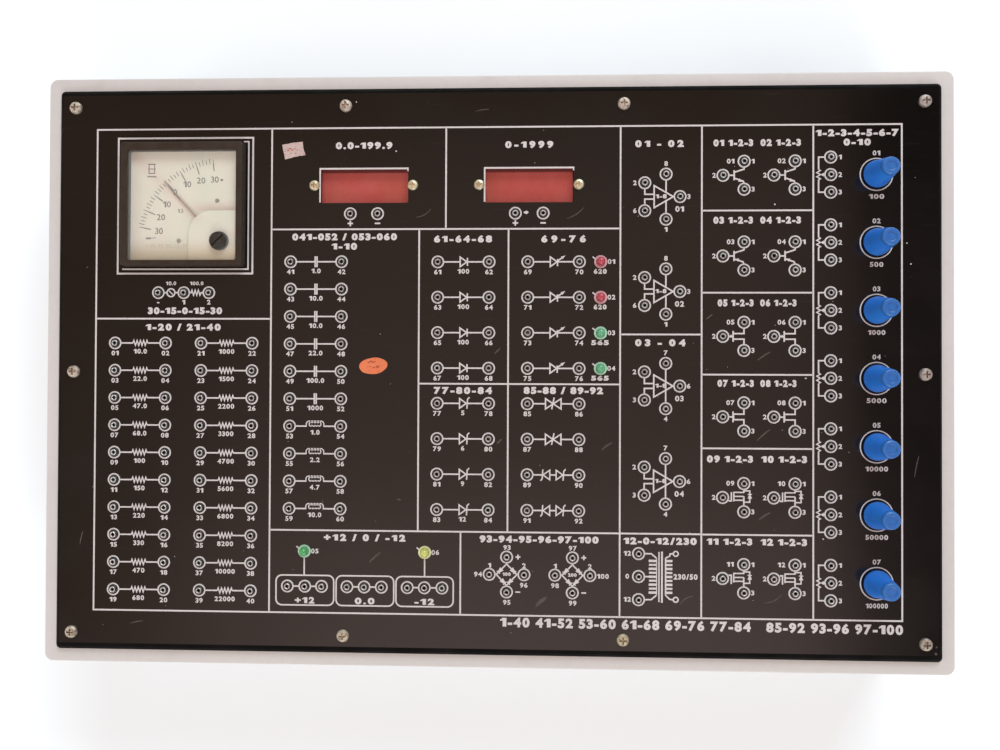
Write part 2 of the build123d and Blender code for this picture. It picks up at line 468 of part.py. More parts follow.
res = axial(6.6, 1.3, 6.0)
R_POS = [(x, 15.5 - 16.16 * k) for k in range(10) for x in (-208.1, -156.5)] + [(35.9, 63.3 - 20.68 * k) for k in range(4)]
put("resistors", at(res, R_POS, Z_BOARD))

diode = axial(4.4, 1.25, 5.0)
tvs = axial(7.4, 2.5, 6.5, 3.6)
D_POS = [(-16.7, 63.3 - 20.68 * k) for k in range(4)] + [(-16.7, -19.3 - 20.64 * k) for k in range(4)]
put("diodes", at(diode, D_POS, Z_BOARD) + at(tvs, [(35.9, -19.3 - 20.64 * k) for k in range(4)], Z_BOARD)
    + at(round_bridge(4.5, 5.0), [(9.2, -118.5), (47.3, -118.5)], Z_BOARD)
    + at(Rot(180, 0, 0) * round_bridge(4.5, 5.0), [(SBX - 30.0, SBY + 8.0)], Z_SB + BOARD_T))

C_POS = [(-103.5, 63.5 - 16.1 * k) for k in range(10)]
put("capacitors", at(disc(3.6, 2.6), C_POS[:3], Z_BOARD) + at(radial_can(3.15, 11.0, 2.5), C_POS[3:6], Z_BOARD)
    + at(Rot(180, 0, 0) * radial_can(8.0, 25.0, 7.5), [(SBX - 30.0, SBY - 16.0), (SBX - 10.0, SBY - 16.0)], Z_SB + BOARD_T)
    + at(Rot(180, 0, 0) * radial_can(5.0, 12.5, 5.0), [(SBX + s, SBY - 14.0) for s in (8.0, 21.0, 33.0)], Z_SB + BOARD_T))
put("inductors", at(spool(4.0, 9.0), C_POS[6:], Z_BOARD))
put("chips", at(dip8(), [(98.4, y) for y in IC_Y], Z_BOARD))
reg = Rot(180, 0, 0) * to220()
REG_X = [SBX - 22.0, SBX, SBX + 22.0]
put("transistors", at(to92(), [(x, y) for y in TR_Y[:4] for x in (139.6, 168.6)], Z_BOARD)
    + at(to220(), [(x, y) for y in TR_Y[4:] for x in (140.2, 168.8)], Z_BOARD)
    + at(reg, [(x, SBY + 14.5) for x in REG_X], Z_SB + BOARD_T))
hs_z = Z_SB + BOARD_T
hs_y = SBY + 14.5 + 1.4
sink = box(SBX - 36.0, SBX + 36.0, hs_y, hs_y + 2.6, hs_z, hs_z + 24.0)
sink = sink + [box(SBX - 36.0 + 7.0 * k, SBX - 34.4 + 7.0 * k, hs_y + 2.4, hs_y + 14.0, hs_z, hs_z + 24.0) for k in range(11)]
sink = sink - [Pos(SBX + sx * 37.0, SBY + 30.0, hs_z) * Cylinder(4.2, 6.0) for sx in (-1, 1)]
put("heat_sink", sink)

# ---------------------------------------------------------------- mains transformer
CORE_W, CORE_H, CORE_D = 57.0, 46.0, 22.0
z0 = Z_CASE
core_e = box(TX - CORE_W / 2, TX + CORE_W / 2, TY - CORE_D / 2, TY + CORE_D / 2, z0, z0 + CORE_H)
core_e = core_e - [box(TX + s * 14.25 - 4.75, TX + s * 14.25 + 4.75, TY - 20, TY + 20, z0 + 9.5, z0 + CORE_H - 9.5) for s in (-1, 1)]
half = CORE_W / 2
strap = box(TX - half - 1.1, TX + half + 1.1, TY - 9, TY + 9, z0, z0 + CORE_H + 1.1) - box(TX - half - 0.05, TX + half + 0.05, TY - 12, TY + 12, z0 - 1, z0 + CORE_H + 0.05)
strap = strap + [box(min(TX + s * (half + 0.5), TX + s * 39.0), max(TX + s * (half + 0.5), TX + s * 39.0), TY - 9, TY + 9, z0, z0 + SHEET) for s in (-1, 1)]
strap = strap - [rod(x, y, z0 - 1, z0 + 3, M4_HOLE_R) for x, y in TR_BOLTS]
put("transformer_core", [core_e, strap])
wind = rbox(TX, TY, 37.6, 40.0, z0 + 10.8, z0 + CORE_H - 10.8, 4.0)
wind = wind + [rbox(TX, TY, 37.8, 42.0, z, z + 1.2, 2.0) for z in (z0 + 9.6, z0 + CORE_H - 10.8)]
wind = wind - box(TX - 9.55, TX + 9.55, TY - 11.05, TY + 11.05, z0, z0 + CORE_H)
put("transformer_winding", wind)

# ---------------------------------------------------------------- rear inlet module
yb = BACK
IN_X = IMX - 11.0                     # centre of the three-pin inlet
DR_X = IMX + 6.2                      # centre of the fuse drawer
RK_X = IMX + 17.1                     # centre of the rocker
RK_Y = yb - 3.0                       # rocker pivot
FACE = yb + 2.2
mod = box(IMX - 23.8, IMX + 23.8, yb - 24.0, yb + 0.5, IMZ - 13.8, IMZ + 13.8)
flange = Pos(IMX, yb, IMZ) * Rot(90, 0, 0) * extrude(RectangleRounded(54.0, 33.0, 3.0), -2.2)
mod = mod + flange
cav = Polyline((-12, -8.2), (12, -8.2), (12, 4.4), (8.2, 8.2), (-8.2, 8.2), (-12, 4.4), close=True)
cavity = Pos(IN_X, FACE + 0.1, IMZ) * Rot(90, 0, 0) * extrude(make_face(cav), 17.1)
mod = mod - cavity
mod = mod - box(DR_X - 3.8, DR_X + 3.8, FACE - 20.0, FACE + 1, IMZ - 12.0, IMZ + 12.0)
mod = mod - box(RK_X - 5.5, RK_X + 5.5, FACE - 14.0, FACE + 1, IMZ - 11.3, IMZ + 11.3)
mod = mod - rod_x(RK_X - 5.95, RK_X + 5.95, RK_Y, IMZ, 1.27)
PINS = [(IN_X - 7.0, IMZ - 2.0), (IN_X + 7.0, IMZ - 2.0), (IN_X, IMZ + 2.0)]
mod = mod - [box(x - 1.03, x + 1.03, yb - 30, yb, z - 2.03, z + 2.03) for x, z in PINS]
put("inlet_module", mod)
pins = []
for x, z in PINS:
    p = box(x - 1.0, x + 1.0, yb - 33.0, yb - 1.5, z - 2.0, z + 2.0)
    p = chamfer(p.edges().group_by(Axis.Y)[-1], 0.5)
    pins.append(p)
put("inlet_pins", pins)

drawer = box(DR_X - 3.65, DR_X + 3.65, FACE - 19.4, FACE + 0.2, IMZ - 11.8, IMZ + 11.8)
face_plate = Pos(DR_X, FACE + 0.05, IMZ) * Rot(90, 0, 0) * extrude(RectangleRounded(8.6, 27.0, 1.0), -1.5)
drawer = drawer + face_plate - Pos(DR_X, FACE + 1.5, IMZ + 11.4) * Box(5.0, 1.2, 1.6)
drawer = drawer - rod(DR_X, FACE - 9.0, IMZ - 10.2, IMZ + 10.2, 2.7) - box(DR_X, DR_X + 5, FACE - 11.7, FACE - 6.3, IMZ - 10.2, IMZ + 10.2)
put("fuse_drawer", drawer)
put("fuse", rod(DR_X, FACE - 9.0, IMZ - 10.0, IMZ - 5.0, 2.6) + rod(DR_X, FACE - 9.0, IMZ - 5.2, IMZ + 5.2, 2.4) + rod(DR_X, FACE - 9.0, IMZ + 5.0, IMZ + 10.0, 2.6))

prof = make_face(Polyline((-6, -3.5), (-2, -9.4), (6.6, -10.0), (5.6, -5.2), (4.9, 0), (5.6, 5.2), (6.6, 10.0), (-2, 9.4), (-6, 3.5), close=True))
rock = Plane.YZ * prof
rock = extrude(rock, 5.2, both=True)
rock = rock + rod_x(-5.9, 5.9, 0, 0, 1.22)
put("rocker", Pos(RK_X, RK_Y, IMZ) * Rot(-8, 0, 0) * rock)
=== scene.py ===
import math
import random

import bpy
import numpy as np
from mathutils import Matrix, Vector


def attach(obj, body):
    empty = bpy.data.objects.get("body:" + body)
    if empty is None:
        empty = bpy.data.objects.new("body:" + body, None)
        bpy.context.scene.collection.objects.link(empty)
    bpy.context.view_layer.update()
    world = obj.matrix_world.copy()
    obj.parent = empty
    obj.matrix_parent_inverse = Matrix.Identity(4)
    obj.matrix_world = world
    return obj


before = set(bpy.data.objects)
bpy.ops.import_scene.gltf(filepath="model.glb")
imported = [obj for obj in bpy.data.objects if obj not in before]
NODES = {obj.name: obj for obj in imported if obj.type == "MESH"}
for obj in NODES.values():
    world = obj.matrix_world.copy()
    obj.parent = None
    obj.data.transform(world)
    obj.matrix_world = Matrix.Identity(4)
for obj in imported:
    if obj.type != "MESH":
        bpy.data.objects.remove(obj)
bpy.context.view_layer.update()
SCENE = bpy.context.scene

MM = 0.001
Y_SHIFT = -2.4635        # the panel centre in the frame, mm
ZP = 78.2                # panel face, mm
GX, GY = -181.8, 96.9    # moving-coil meter centre
PVX, PVY = -159.5, 74.0  # its pivot
KNOB_X = 220.7
KNOB_Y = [113.3 - 39.06 * k for k in range(7)]
IC_Y = [101.0, 46.0, -8.7, -63.7]
TR_Y = [113.2, 66.5, 20.1, -26.3, -72.7, -119.2]
IMX, IMZ = 190.0, 42.0
WIN_TOP = (118.55 + Y_SHIFT) * MM   # upper edge of the two display windows


# ---------------------------------------------------------------- materials

def srgb(r, g, b):
    def f(c):
        c /= 255.0
        return c / 12.92 if c <= 0.04045 else ((c + 0.055) / 1.055) ** 2.4
    return (f(r), f(g), f(b))


class Mat:
    """A Principled material with object-space grain, patchy colour and roughness, and bump."""

    def __init__(self, name, base, rough=0.5, metal=0.0, spec=0.5):
        self.m = bpy.data.materials.new(name)
        self.m.use_nodes = True
        self.t = self.m.node_tree
        self.n = self.t.nodes
        self.l = self.t.links
        self.p = self.n["Principled BSDF"]
        self.p.inputs["Metallic"].default_value = metal
        self.p.inputs["Specular IOR Level"].default_value = spec
        self.co = self.n.new("ShaderNodeTexCoord").outputs["Object"]
        self.base = base
        self.rough0 = rough
        self.col = None
        self.rgh = None
        self.hgt = []
        self.p.inputs["Base Color"].default_value = (*base, 1)
        self.p.inputs["Roughness"].default_value = rough
        self.m.diffuse_color = (*base, 1)

    def link(self, a, b):
        self.l.new(a, b)

    def mapping(self, scale=(1, 1, 1), rot=(0, 0, 0), loc=(0, 0, 0)):
        m = self.n.new("ShaderNodeMapping")
        m.inputs["Scale"].default_value = scale
        m.inputs["Rotation"].default_value = rot
        m.inputs["Location"].default_value = loc
        self.link(self.co, m.inputs["Vector"])
        return m.outputs["Vector"]

    def noise(self, scale, detail=3.0, rough=0.55, vec=None, dist=0.0):
        n = self.n.new("ShaderNodeTexNoise")
        n.inputs["Scale"].default_value = scale
        n.inputs["Detail"].default_value = detail
        n.inputs["Roughness"].default_value = rough
        n.inputs["Distortion"].default_value = dist
        self.link(vec if vec is not None else self.co, n.inputs["Vector"])
        return n.outputs["Fac"]

    def voronoi(self, scale, vec=None, rnd=1.0):
        n = self.n.new("ShaderNodeTexVoronoi")
        n.inputs["Scale"].default_value = scale
        n.inputs["Randomness"].default_value = rnd
        self.link(vec if vec is not None else self.co, n.inputs["Vector"])
        return n.outputs["Distance"]

    def ramp(self, fac, a, b, lo=0.0, hi=1.0):
        """fac from a..b mapped to lo..hi, clamped and smooth."""
        n = self.n.new("ShaderNodeMapRange")
        n.interpolation_type = "SMOOTHSTEP"
        n.inputs["From Min"].default_value = a
        n.inputs["From Max"].default_value = b
        n.inputs["To Min"].default_value = lo
        n.inputs["To Max"].default_value = hi
        self.link(fac, n.inputs["Value"])
        return n.outputs["Result"]

    def math(self, op, a, b):
        n = self.n.new("ShaderNodeMath")
        n.operation = op
        for k, v in enumerate((a, b)):
            if isinstance(v, (int, float)):
                n.inputs[k].default_value = v
            else:
                self.link(v, n.inputs[k])
        return n.outputs[0]

    def tint(self, fac, colour):
        """Mix the colour so far towards colour by fac."""
        n = self.n.new("ShaderNodeMix")
        n.data_type = "RGBA"
        if isinstance(fac, (int, float)):
            n.inputs["Factor"].default_value = fac
        else:
            self.link(fac, n.inputs["Factor"])
        a, b = n.inputs[6], n.inputs[7]
        if self.col is None:
            a.default_value = (*self.base, 1)
        else:
            self.link(self.col, a)
        b.default_value = (*colour, 1)
        self.col = n.outputs[2]
        return self

    def patch(self, scale, amount, detail=3.0, vec=None, tone=None):
        """Patchy lighter and darker areas."""
        f = self.noise(scale, detail, vec=vec)
        dark = tuple(c * (1 - amount) for c in (tone or self.base))
        light = tuple(min(1.0, c * (1 + amount)) for c in (tone or self.base))
        self.tint(self.ramp(f, 0.35, 0.5, 0.55, 0.0), dark)
        self.tint(self.ramp(f, 0.5, 0.68, 0.0, 0.55), light)
        return self

    def rough(self, scale, lo, hi, detail=3.0, vec=None):
        f = self.noise(scale, detail, vec=vec)
        r = self.ramp(f, 0.3, 0.7, lo, hi)
        self.rgh = r if self.rgh is None else self.math("MAXIMUM", self.rgh, r)
        return self

    def rough_add(self, f):
        self.rgh = self.math("ADD", self.rgh if self.rgh is not None else self.rough0, f)
        return self

    def bump(self, height, strength, dist):
        self.hgt.append((height, strength, dist))
        return self

    def grain(self, scale, strength=0.2, dist=0.0001, detail=2.0, vec=None):
        return self.bump(self.noise(scale, detail, vec=vec), strength, dist)

    def done(self):
        if self.col is not None:
            self.link(self.col, self.p.inputs["Base Color"])
        if self.rgh is not None:
            self.link(self.rgh, self.p.inputs["Roughness"])
        last = None
        for h, s, d in self.hgt:
            b = self.n.new("ShaderNodeBump")
            b.inputs["Strength"].default_value = s
            b.inputs["Distance"].default_value = d
            self.link(h, b.inputs["Height"])
            if last is not None:
                self.link(last, b.inputs["Normal"])
            last = b.outputs["Normal"]
        if last is not None:
            self.link(last, self.p.inputs["Normal"])
        return self.m


M = {}


def metal(name, base, rough, scratch=(1, 1, 1), tarnish=None, grain=1800):
    k = Mat(name, base, rough, metal=1.0)
    k.patch(140, 0.12)
    if tarnish:
        k.tint(k.ramp(k.noise(420, 4), 0.52, 0.72, 0.0, 0.6), tarnish)
    k.rough(260, rough * 0.75, min(1.0, rough * 1.5))
    k.grain(grain, 0.12, 0.00006, vec=k.mapping(scale=scratch))
    M[name] = k.done()


def plastic(name, base, rough, coat=0.0, var=0.1, grain=2600, gs=0.12, spec=0.5, dust=0.0, dustcol=(0.45, 0.42, 0.4)):
    k = Mat(name, base, rough, spec=spec)
    k.patch(90, var)
    if dust:
        k.tint(k.ramp(k.noise(700, 5), 0.56, 0.8, 0.0, dust), dustcol)
    k.rough(180, rough * 0.8, min(1.0, rough * 1.35))
    k.grain(grain, gs, 0.00005)
    k.p.inputs["Coat Weight"].default_value = coat
    k.p.inputs["Coat Roughness"].default_value = 0.12
    M[name] = k.done()


# painted steel: low sheen, fine orange peel, a little grime
k = Mat("case_paint", srgb(200, 191, 187), 0.48, spec=0.4)
k.patch(9, 0.045)
k.patch(240, 0.03)
k.tint(k.ramp(k.noise(38, 6), 0.56, 0.82, 0.0, 0.22), srgb(160, 150, 142))
k.rough(60, 0.40, 0.58)
k.bump(k.noise(1300, 2), 0.22, 0.00008)
k.bump(k.noise(120, 3), 0.10, 0.0002)
M["case_paint"] = k.done()

k = Mat("base_paint", srgb(58, 58, 60), 0.6, spec=0.4)
k.patch(14, 0.1)
k.rough(70, 0.5, 0.7)
k.bump(k.noise(1100, 2), 0.3, 0.0001)
M["base_paint"] = k.done()

# black acrylic laminate: hazy gloss, hairline scratches in two directions, fine dust,
# and a matt sawn edge, its bevel coloured near-black as painted shade
k = Mat("panel_laminate", srgb(14, 11, 10), 0.22, spec=0.5)
k.patch(7, 0.18, detail=4)
k.patch(60, 0.08)
hair1 = k.noise(26, 2, vec=k.mapping(scale=(1, 60, 1), rot=(0, 0, math.radians(38))))
hair2 = k.noise(30, 2, vec=k.mapping(scale=(1, 70, 1), rot=(0, 0, math.radians(-24))))
h1 = k.ramp(hair1, 0.69, 0.76, 0.0, 0.4)
h2 = k.ramp(hair2, 0.70, 0.78, 0.0, 0.35)
k.tint(h1, srgb(52, 45, 42))
k.tint(h2, srgb(48, 42, 40))
speck = k.ramp(k.voronoi(420), 0.02, 0.10, 1.0, 0.0)
gate = k.ramp(k.noise(55, 2), 0.55, 0.66, 0.0, 0.45)
k.tint(k.math("MULTIPLY", speck, gate), srgb(104, 96, 91))
sep = k.n.new("ShaderNodeSeparateXYZ")
k.link(k.co, sep.inputs[0])
# painted shade: the outer bevel of the panel is tinted near-black (and made rougher)
edge = k.ramp(k.math("ABSOLUTE", k.math("SUBTRACT", sep.outputs[1], Y_SHIFT * MM), 0.0), 0.16375, 0.16405, 0.0, 1.0)
edge = k.math("MAXIMUM", edge, k.ramp(k.math("ABSOLUTE", sep.outputs[0], 0.0), 0.25625, 0.25655, 0.0, 1.0))
k.tint(edge, (0.0012, 0.0009, 0.0008))
k.rough(12, 0.12, 0.20, detail=5)
k.rough_add(k.math("MULTIPLY", h1, 0.2))
k.rough_add(k.math("MULTIPLY", edge, 0.6))
k.grain(1500, 0.05, 0.00003)
k.bump(k.noise(16, 2), 0.08, 0.0004)
M["panel_laminate"] = k.done()

# screen ink: chalky white with thin spots
k = Mat("ink_white", srgb(200, 190, 187), 0.6, spec=0.3)
k.patch(30, 0.10)
k.tint(k.ramp(k.noise(900, 4), 0.55, 0.75, 0.0, 0.35), srgb(120, 110, 107))
k.rough(300, 0.45, 0.7)
k.grain(4000, 0.15, 0.00002)
M["ink_white"] = k.done()

# ink_red, ink_green, ink_yellow: the white ring ink with the lamps' coloured glow painted in
for tag, c in (("red", (200, 148, 152)), ("green", (160, 196, 168)), ("yellow", (208, 208, 156))):
    k = Mat("ink_" + tag, srgb(*c), 0.5, spec=0.3)
    k.patch(60, 0.12)
    k.tint(k.ramp(k.noise(700, 4), 0.5, 0.75, 0.0, 0.4), srgb(190, 181, 179))
    k.rough(300, 0.45, 0.65)
    k.grain(4000, 0.15, 0.00002)
    M["ink_" + tag] = k.done()

k = Mat("ink_dial", srgb(108, 102, 94), 0.6)
k.patch(300, 0.2)
k.tint(k.ramp(k.noise(2600, 4), 0.5, 0.7, 0.0, 0.45), srgb(150, 145, 135))
k.rough(300, 0.5, 0.7)
k.grain(4000, 0.1, 0.00002)
M["ink_dial"] = k.done()

k = Mat("ink_faint", srgb(188, 174, 146), 0.7)
k.patch(300, 0.06)
k.tint(k.ramp(k.noise(2600, 4), 0.5, 0.7, 0.0, 0.45), srgb(200, 188, 162))
k.rough(300, 0.6, 0.8)
k.grain(4000, 0.1, 0.00002)
M["ink_faint"] = k.done()

k = Mat("scuff", srgb(74, 63, 57), 0.5)
k.patch(400, 0.3, detail=5)
k.tint(k.ramp(k.noise(1200, 4), 0.45, 0.65, 0.0, 0.8), srgb(38, 32, 30))
k.rough(300, 0.35, 0.6)
k.grain(3000, 0.2, 0.00002)
M["scuff"] = k.done()

# paper scraps
k = Mat("paper_pink", srgb(192, 168, 160), 0.85, spec=0.2)
k.patch(160, 0.10)
k.tint(k.ramp(k.noise(420, 4), 0.48, 0.66, 0.0, 0.7), srgb(184, 140, 138))
k.tint(k.ramp(k.noise(900, 5), 0.55, 0.70, 0.0, 0.6), srgb(112, 80, 80))
k.rough(200, 0.75, 0.95)
k.grain(2400, 0.5, 0.0001)
M["paper_pink"] = k.done()

k = Mat("paper_orange", srgb(214, 114, 74), 0.7, spec=0.3)
k.patch(110, 0.08)
k.tint(k.ramp(k.noise(150, 4), 0.50, 0.68, 0.0, 0.55), srgb(216, 146, 116))
k.tint(k.ramp(k.noise(520, 5), 0.60, 0.72, 0.0, 0.7), srgb(176, 84, 58))
k.rough(200, 0.6, 0.8)
k.grain(2400, 0.4, 0.00008)
M["paper_orange"] = k.done()

k = Mat("mark_brown", srgb(158, 72, 46), 0.7, spec=0.3)
k.patch(300, 0.2)
k.tint(k.ramp(k.noise(1300, 4), 0.45, 0.65, 0.0, 0.6), srgb(192, 96, 62))
k.rough(300, 0.6, 0.8)
k.grain(2400, 0.3, 0.00004)
M["mark_brown"] = k.done()

# painted shade round the edge of the panel: a matt near-black band, widest at the foot
k = Mat("painted_edge_shade", (0.0022, 0.0014, 0.0010), 0.85, spec=0.12)
k.patch(40, 0.3)
k.tint(k.ramp(k.noise(260, 4), 0.6, 0.8, 0.0, 0.5), srgb(34, 26, 24))
k.rough(60, 0.75, 0.95)
k.grain(1500, 0.2, 0.00005)
M["painted_edge_shade"] = k.done()

metal("zinc", srgb(196, 190, 180), 0.34, tarnish=srgb(140, 128, 112), grain=1400)
metal("nickel", srgb(196, 190, 186), 0.42, tarnish=srgb(146, 138, 130), grain=1500)

# plated screws; the two that hold the dial have gone grey-brown
k = Mat("screw_cream", srgb(222, 210, 180), 0.4, metal=1.0)
k.patch(140, 0.12)
k.tint(k.ramp(k.noise(420, 4), 0.5, 0.7, 0.0, 0.6), srgb(172, 152, 116))
sep = k.n.new("ShaderNodeSeparateXYZ")
k.link(k.co, sep.inputs[0])
k.tint(k.ramp(sep.outputs[0], -0.15, -0.14, 1.0, 0.0), srgb(166, 156, 142))
k.rough(260, 0.32, 0.55)
k.grain(1400, 0.12, 0.00006)
M["screw_cream"] = k.done()

# panel screws: dull plating, tinted yellower along the foot and greyer at the right
k = Mat("screw_plated", srgb(203, 187, 173), 0.62, metal=1.0)
k.patch(160, 0.10)
sep = k.n.new("ShaderNodeSeparateXYZ")
k.link(k.co, sep.inputs[0])
k.tint(k.math("MULTIPLY", k.ramp(sep.outputs[1], -0.152, -0.150, 1.0, 0.0), k.ramp(sep.outputs[0], -0.2, 0.2, 0.2, 0.8)), srgb(190, 178, 146))
k.tint(k.ramp(sep.outputs[0], 0.2, 0.24, 0.0, 0.55), srgb(172, 160, 158))
k.tint(k.ramp(k.noise(520, 4), 0.48, 0.66, 0.0, 0.7), srgb(126, 112, 98))
k.rough(300, 0.56, 0.8)
k.grain(1500, 0.14, 0.00006)
M["screw_plated"] = k.done()

metal("copper", srgb(190, 110, 70), 0.35, tarnish=srgb(120, 62, 38))
metal("magnet_steel", srgb(120, 120, 124), 0.4, tarnish=srgb(70, 66, 62))
metal("pot_metal", srgb(178, 176, 172), 0.38, tarnish=srgb(120, 114, 104))
metal("sink_aluminium", srgb(168, 170, 172), 0.42, scratch=(1, 1, 9))
metal("core_steel", srgb(88, 86, 84), 0.5, scratch=(1, 1, 14), tarnish=srgb(70, 50, 38))
metal("brass", srgb(206, 172, 98), 0.3, tarnish=srgb(140, 104, 52))

plastic("foot_rubber", srgb(24, 24, 25), 0.85, grain=900, gs=0.4, spec=0.3, dust=0.25)
plastic("black_nylon", srgb(30, 26, 25), 0.45, dust=0.15)
plastic("meter_black", srgb(48, 35, 26), 0.46, var=0.16, grain=1600, gs=0.2, spec=0.32, dust=0.12, dustcol=srgb(116, 100, 86))
plastic("adjuster_black", srgb(40, 36, 32), 0.4, grain=1500, gs=0.2, dust=0.2)
plastic("display_grey", srgb(96, 88, 86), 0.5)
plastic("board_green", srgb(34, 84, 52), 0.42, var=0.18)
plastic("resistor_tan", srgb(196, 164, 118), 0.55, var=0.12)
plastic("capacitor_blue", srgb(40, 62, 118), 0.4)
plastic("inductor_dark", srgb(38, 40, 42), 0.5)
plastic("epoxy_black", srgb(26, 26, 28), 0.5)
plastic("winding_tape", srgb(214, 186, 96), 0.55, var=0.12)
plastic("inlet_black", srgb(28, 28, 29), 0.42, dust=0.1)
plastic("rocker_black", srgb(24, 24, 26), 0.3, coat=0.3, dust=0.1)
plastic("fuse_glass", srgb(198, 206, 204), 0.15, coat=0.5)

# cream card dial: foxed at its foot, with painted shade in pink along the pointer and round the cover
k = Mat("dial_cream", srgb(220, 209, 191), 0.7, spec=0.3)
k.patch(40, 0.03)
k.tint(k.ramp(k.noise(34, 3), 0.48, 0.66, 0.0, 0.45), srgb(214, 200, 186))
k.tint(k.ramp(k.noise(30, 3, vec=k.mapping(loc=(0.4, 0.1, 0))), 0.52, 0.68, 0.0, 0.4), srgb(200, 205, 184))
k.tint(k.ramp(k.noise(900, 4), 0.62, 0.8, 0.0, 0.4), srgb(186, 176, 150))
sep = k.n.new("ShaderNodeSeparateXYZ")
k.link(k.mapping(loc=(-PVX * MM, -(PVY + Y_SHIFT) * MM, 0)), sep.inputs[0])
px, py = sep.outputs[0], sep.outputs[1]
k.tint(k.ramp(py, -0.0105, 0.005, 0.95, 0.0), srgb(190, 166, 128))
# painted shade: darker and pinker along the pointer's length
across = k.math("ABSOLUTE", k.math("ADD", px, py), 0.0)
along = k.math("SUBTRACT", py, px)
near = k.math("MULTIPLY", k.ramp(across, 0.0, 0.0075, 0.5, 0.0), k.ramp(along, 0.02, 0.034, 0.0, 1.0))
k.tint(near, srgb(214, 184, 168))
# painted shade: darker and pinker just above the edge of the cover
above = k.math("MULTIPLY", k.ramp(py, 0.0188, 0.0200, 0.0, 1.0), k.ramp(py, 0.0200, 0.0275, 0.6, 0.0))
above = k.math("MULTIPLY", above, k.ramp(px, -0.020, -0.014, 0.0, 1.0))
k.tint(above, srgb(208, 176, 162))
k.rough(200, 0.6, 0.8)
k.grain(2600, 0.25, 0.00004)
M["dial_cream"] = k.done()

# pointer: pale lacquer worn brown, with a dark tip
k = Mat("pointer_lacquer", srgb(150, 122, 104), 0.5)
k.patch(300, 0.10)
sep = k.n.new("ShaderNodeSeparateXYZ")
k.link(k.mapping(loc=(-PVX * MM, -(PVY + Y_SHIFT) * MM, 0)), sep.inputs[0])
reach = k.math("SQRT", k.math("ADD", k.math("MULTIPLY", sep.outputs[0], sep.outputs[0]), k.math("MULTIPLY", sep.outputs[1], sep.outputs[1])), 0.0)
k.tint(k.ramp(reach, 0.0345, 0.0375, 0.0, 0.8), srgb(78, 52, 46))
k.rough(300, 0.4, 0.6)
k.grain(2600, 0.12, 0.00003)
M["pointer_lacquer"] = k.done()

# clear acrylic
k = Mat("meter_window", srgb(225, 222, 214), 0.08, spec=0.5)
k.patch(70, 0.03)
k.rough(120, 0.05, 0.14)
k.grain(60, 0.05, 0.0002)
k.p.inputs["Alpha"].default_value = 0.10
M["meter_window"] = k.done()

# red filter: tinted acrylic over the digits, with a painted glow and a painted shadow under the top of each window
k = Mat("red_filter", srgb(168, 67, 61), 0.24, spec=0.5)
# painted glow: a faint red emission, though the display is unlit
k.p.inputs["Emission Color"].default_value = (*srgb(178, 84, 76), 1)
k.p.inputs["Emission Strength"].default_value = 0.16
k.patch(55, 0.10)
k.tint(k.ramp(k.noise(34, 3), 0.45, 0.65, 0.0, 0.6), srgb(176, 84, 80))
k.tint(k.ramp(k.noise(26, 3, vec=k.mapping(loc=(0.3, 0.7, 0))), 0.5, 0.66, 0.0, 0.55), srgb(166, 76, 58))
k.tint(k.ramp(k.noise(800, 4), 0.6, 0.78, 0.0, 0.3), srgb(206, 120, 108))
# painted shadow: the filter is darkened along the top of each window, under the panel's edge
sep = k.n.new("ShaderNodeSeparateXYZ")
k.link(k.co, sep.inputs[0])
k.tint(k.ramp(sep.outputs[1], WIN_TOP - 0.0020, WIN_TOP - 0.0013, 0.0, 0.92), srgb(34, 14, 12))
k.rough(140, 0.2, 0.4)
k.grain(900, 0.08, 0.00005)
k.p.inputs["Alpha"].default_value = 0.9
M["red_filter"] = k.done()


def lens(name, base, edge, left=None):
    k = Mat(name, base, 0.22, spec=0.5)
    k.patch(500, 0.10)
    if left:
        sep = k.n.new("ShaderNodeSeparateXYZ")
        k.link(k.co, sep.inputs[0])
        k.tint(k.ramp(sep.outputs[0], -0.05, 0.0, 0.9, 0.0), left)
    k.tint(k.ramp(k.noise(900, 3), 0.5, 0.75, 0.0, 0.35), edge)
    k.rough(500, 0.16, 0.36)
    k.grain(1500, 0.06, 0.00004)
    k.p.inputs["Subsurface Weight"].default_value = 0.35
    k.p.inputs["Subsurface Radius"].default_value = (0.002, 0.001, 0.001)
    k.p.inputs["Coat Weight"].default_value = 0.3
    k.p.inputs["Coat Roughness"].default_value = 0.1
    M[name] = k.done()


lens("led_red", srgb(172, 58, 70), srgb(198, 112, 118))
lens("led_green", srgb(90, 160, 116), srgb(140, 194, 158), srgb(74, 152, 82))
lens("led_yellow", srgb(192, 190, 98), srgb(216, 214, 150))

k = Mat("knob_blue", srgb(34, 109, 202), 0.28, spec=0.5)
k.patch(160, 0.08)
k.tint(k.ramp(k.noise(60, 3), 0.45, 0.65, 0.0, 0.4), srgb(40, 124, 206))
# painted shade: the top of each knob is darkened to a duller blue
sep = k.n.new("ShaderNodeSeparateXYZ")
k.link(k.co, sep.inputs[0])
k.tint(k.ramp(sep.outputs[2], (ZP + 15.8) * MM, (ZP + 17.4) * MM, 0.0, 0.85), srgb(34, 92, 158))
k.tint(k.ramp(k.noise(1100, 4), 0.58, 0.8, 0.0, 0.25), srgb(98, 146, 192))
k.rough(300, 0.34, 0.52)
k.grain(1400, 0.14, 0.00006)
k.p.inputs["Coat Weight"].default_value = 0.1
k.p.inputs["Coat Roughness"].default_value = 0.35
M["knob_blue"] = k.done()

# floor: plain, pale
k = Mat("floor_pale", srgb(245, 248, 250), 0.8, spec=0.2)
k.patch(1.3, 0.015)
k.rough(3, 0.75, 0.85)
k.grain(240, 0.05, 0.0002)
M["floor_pale"] = k.done()

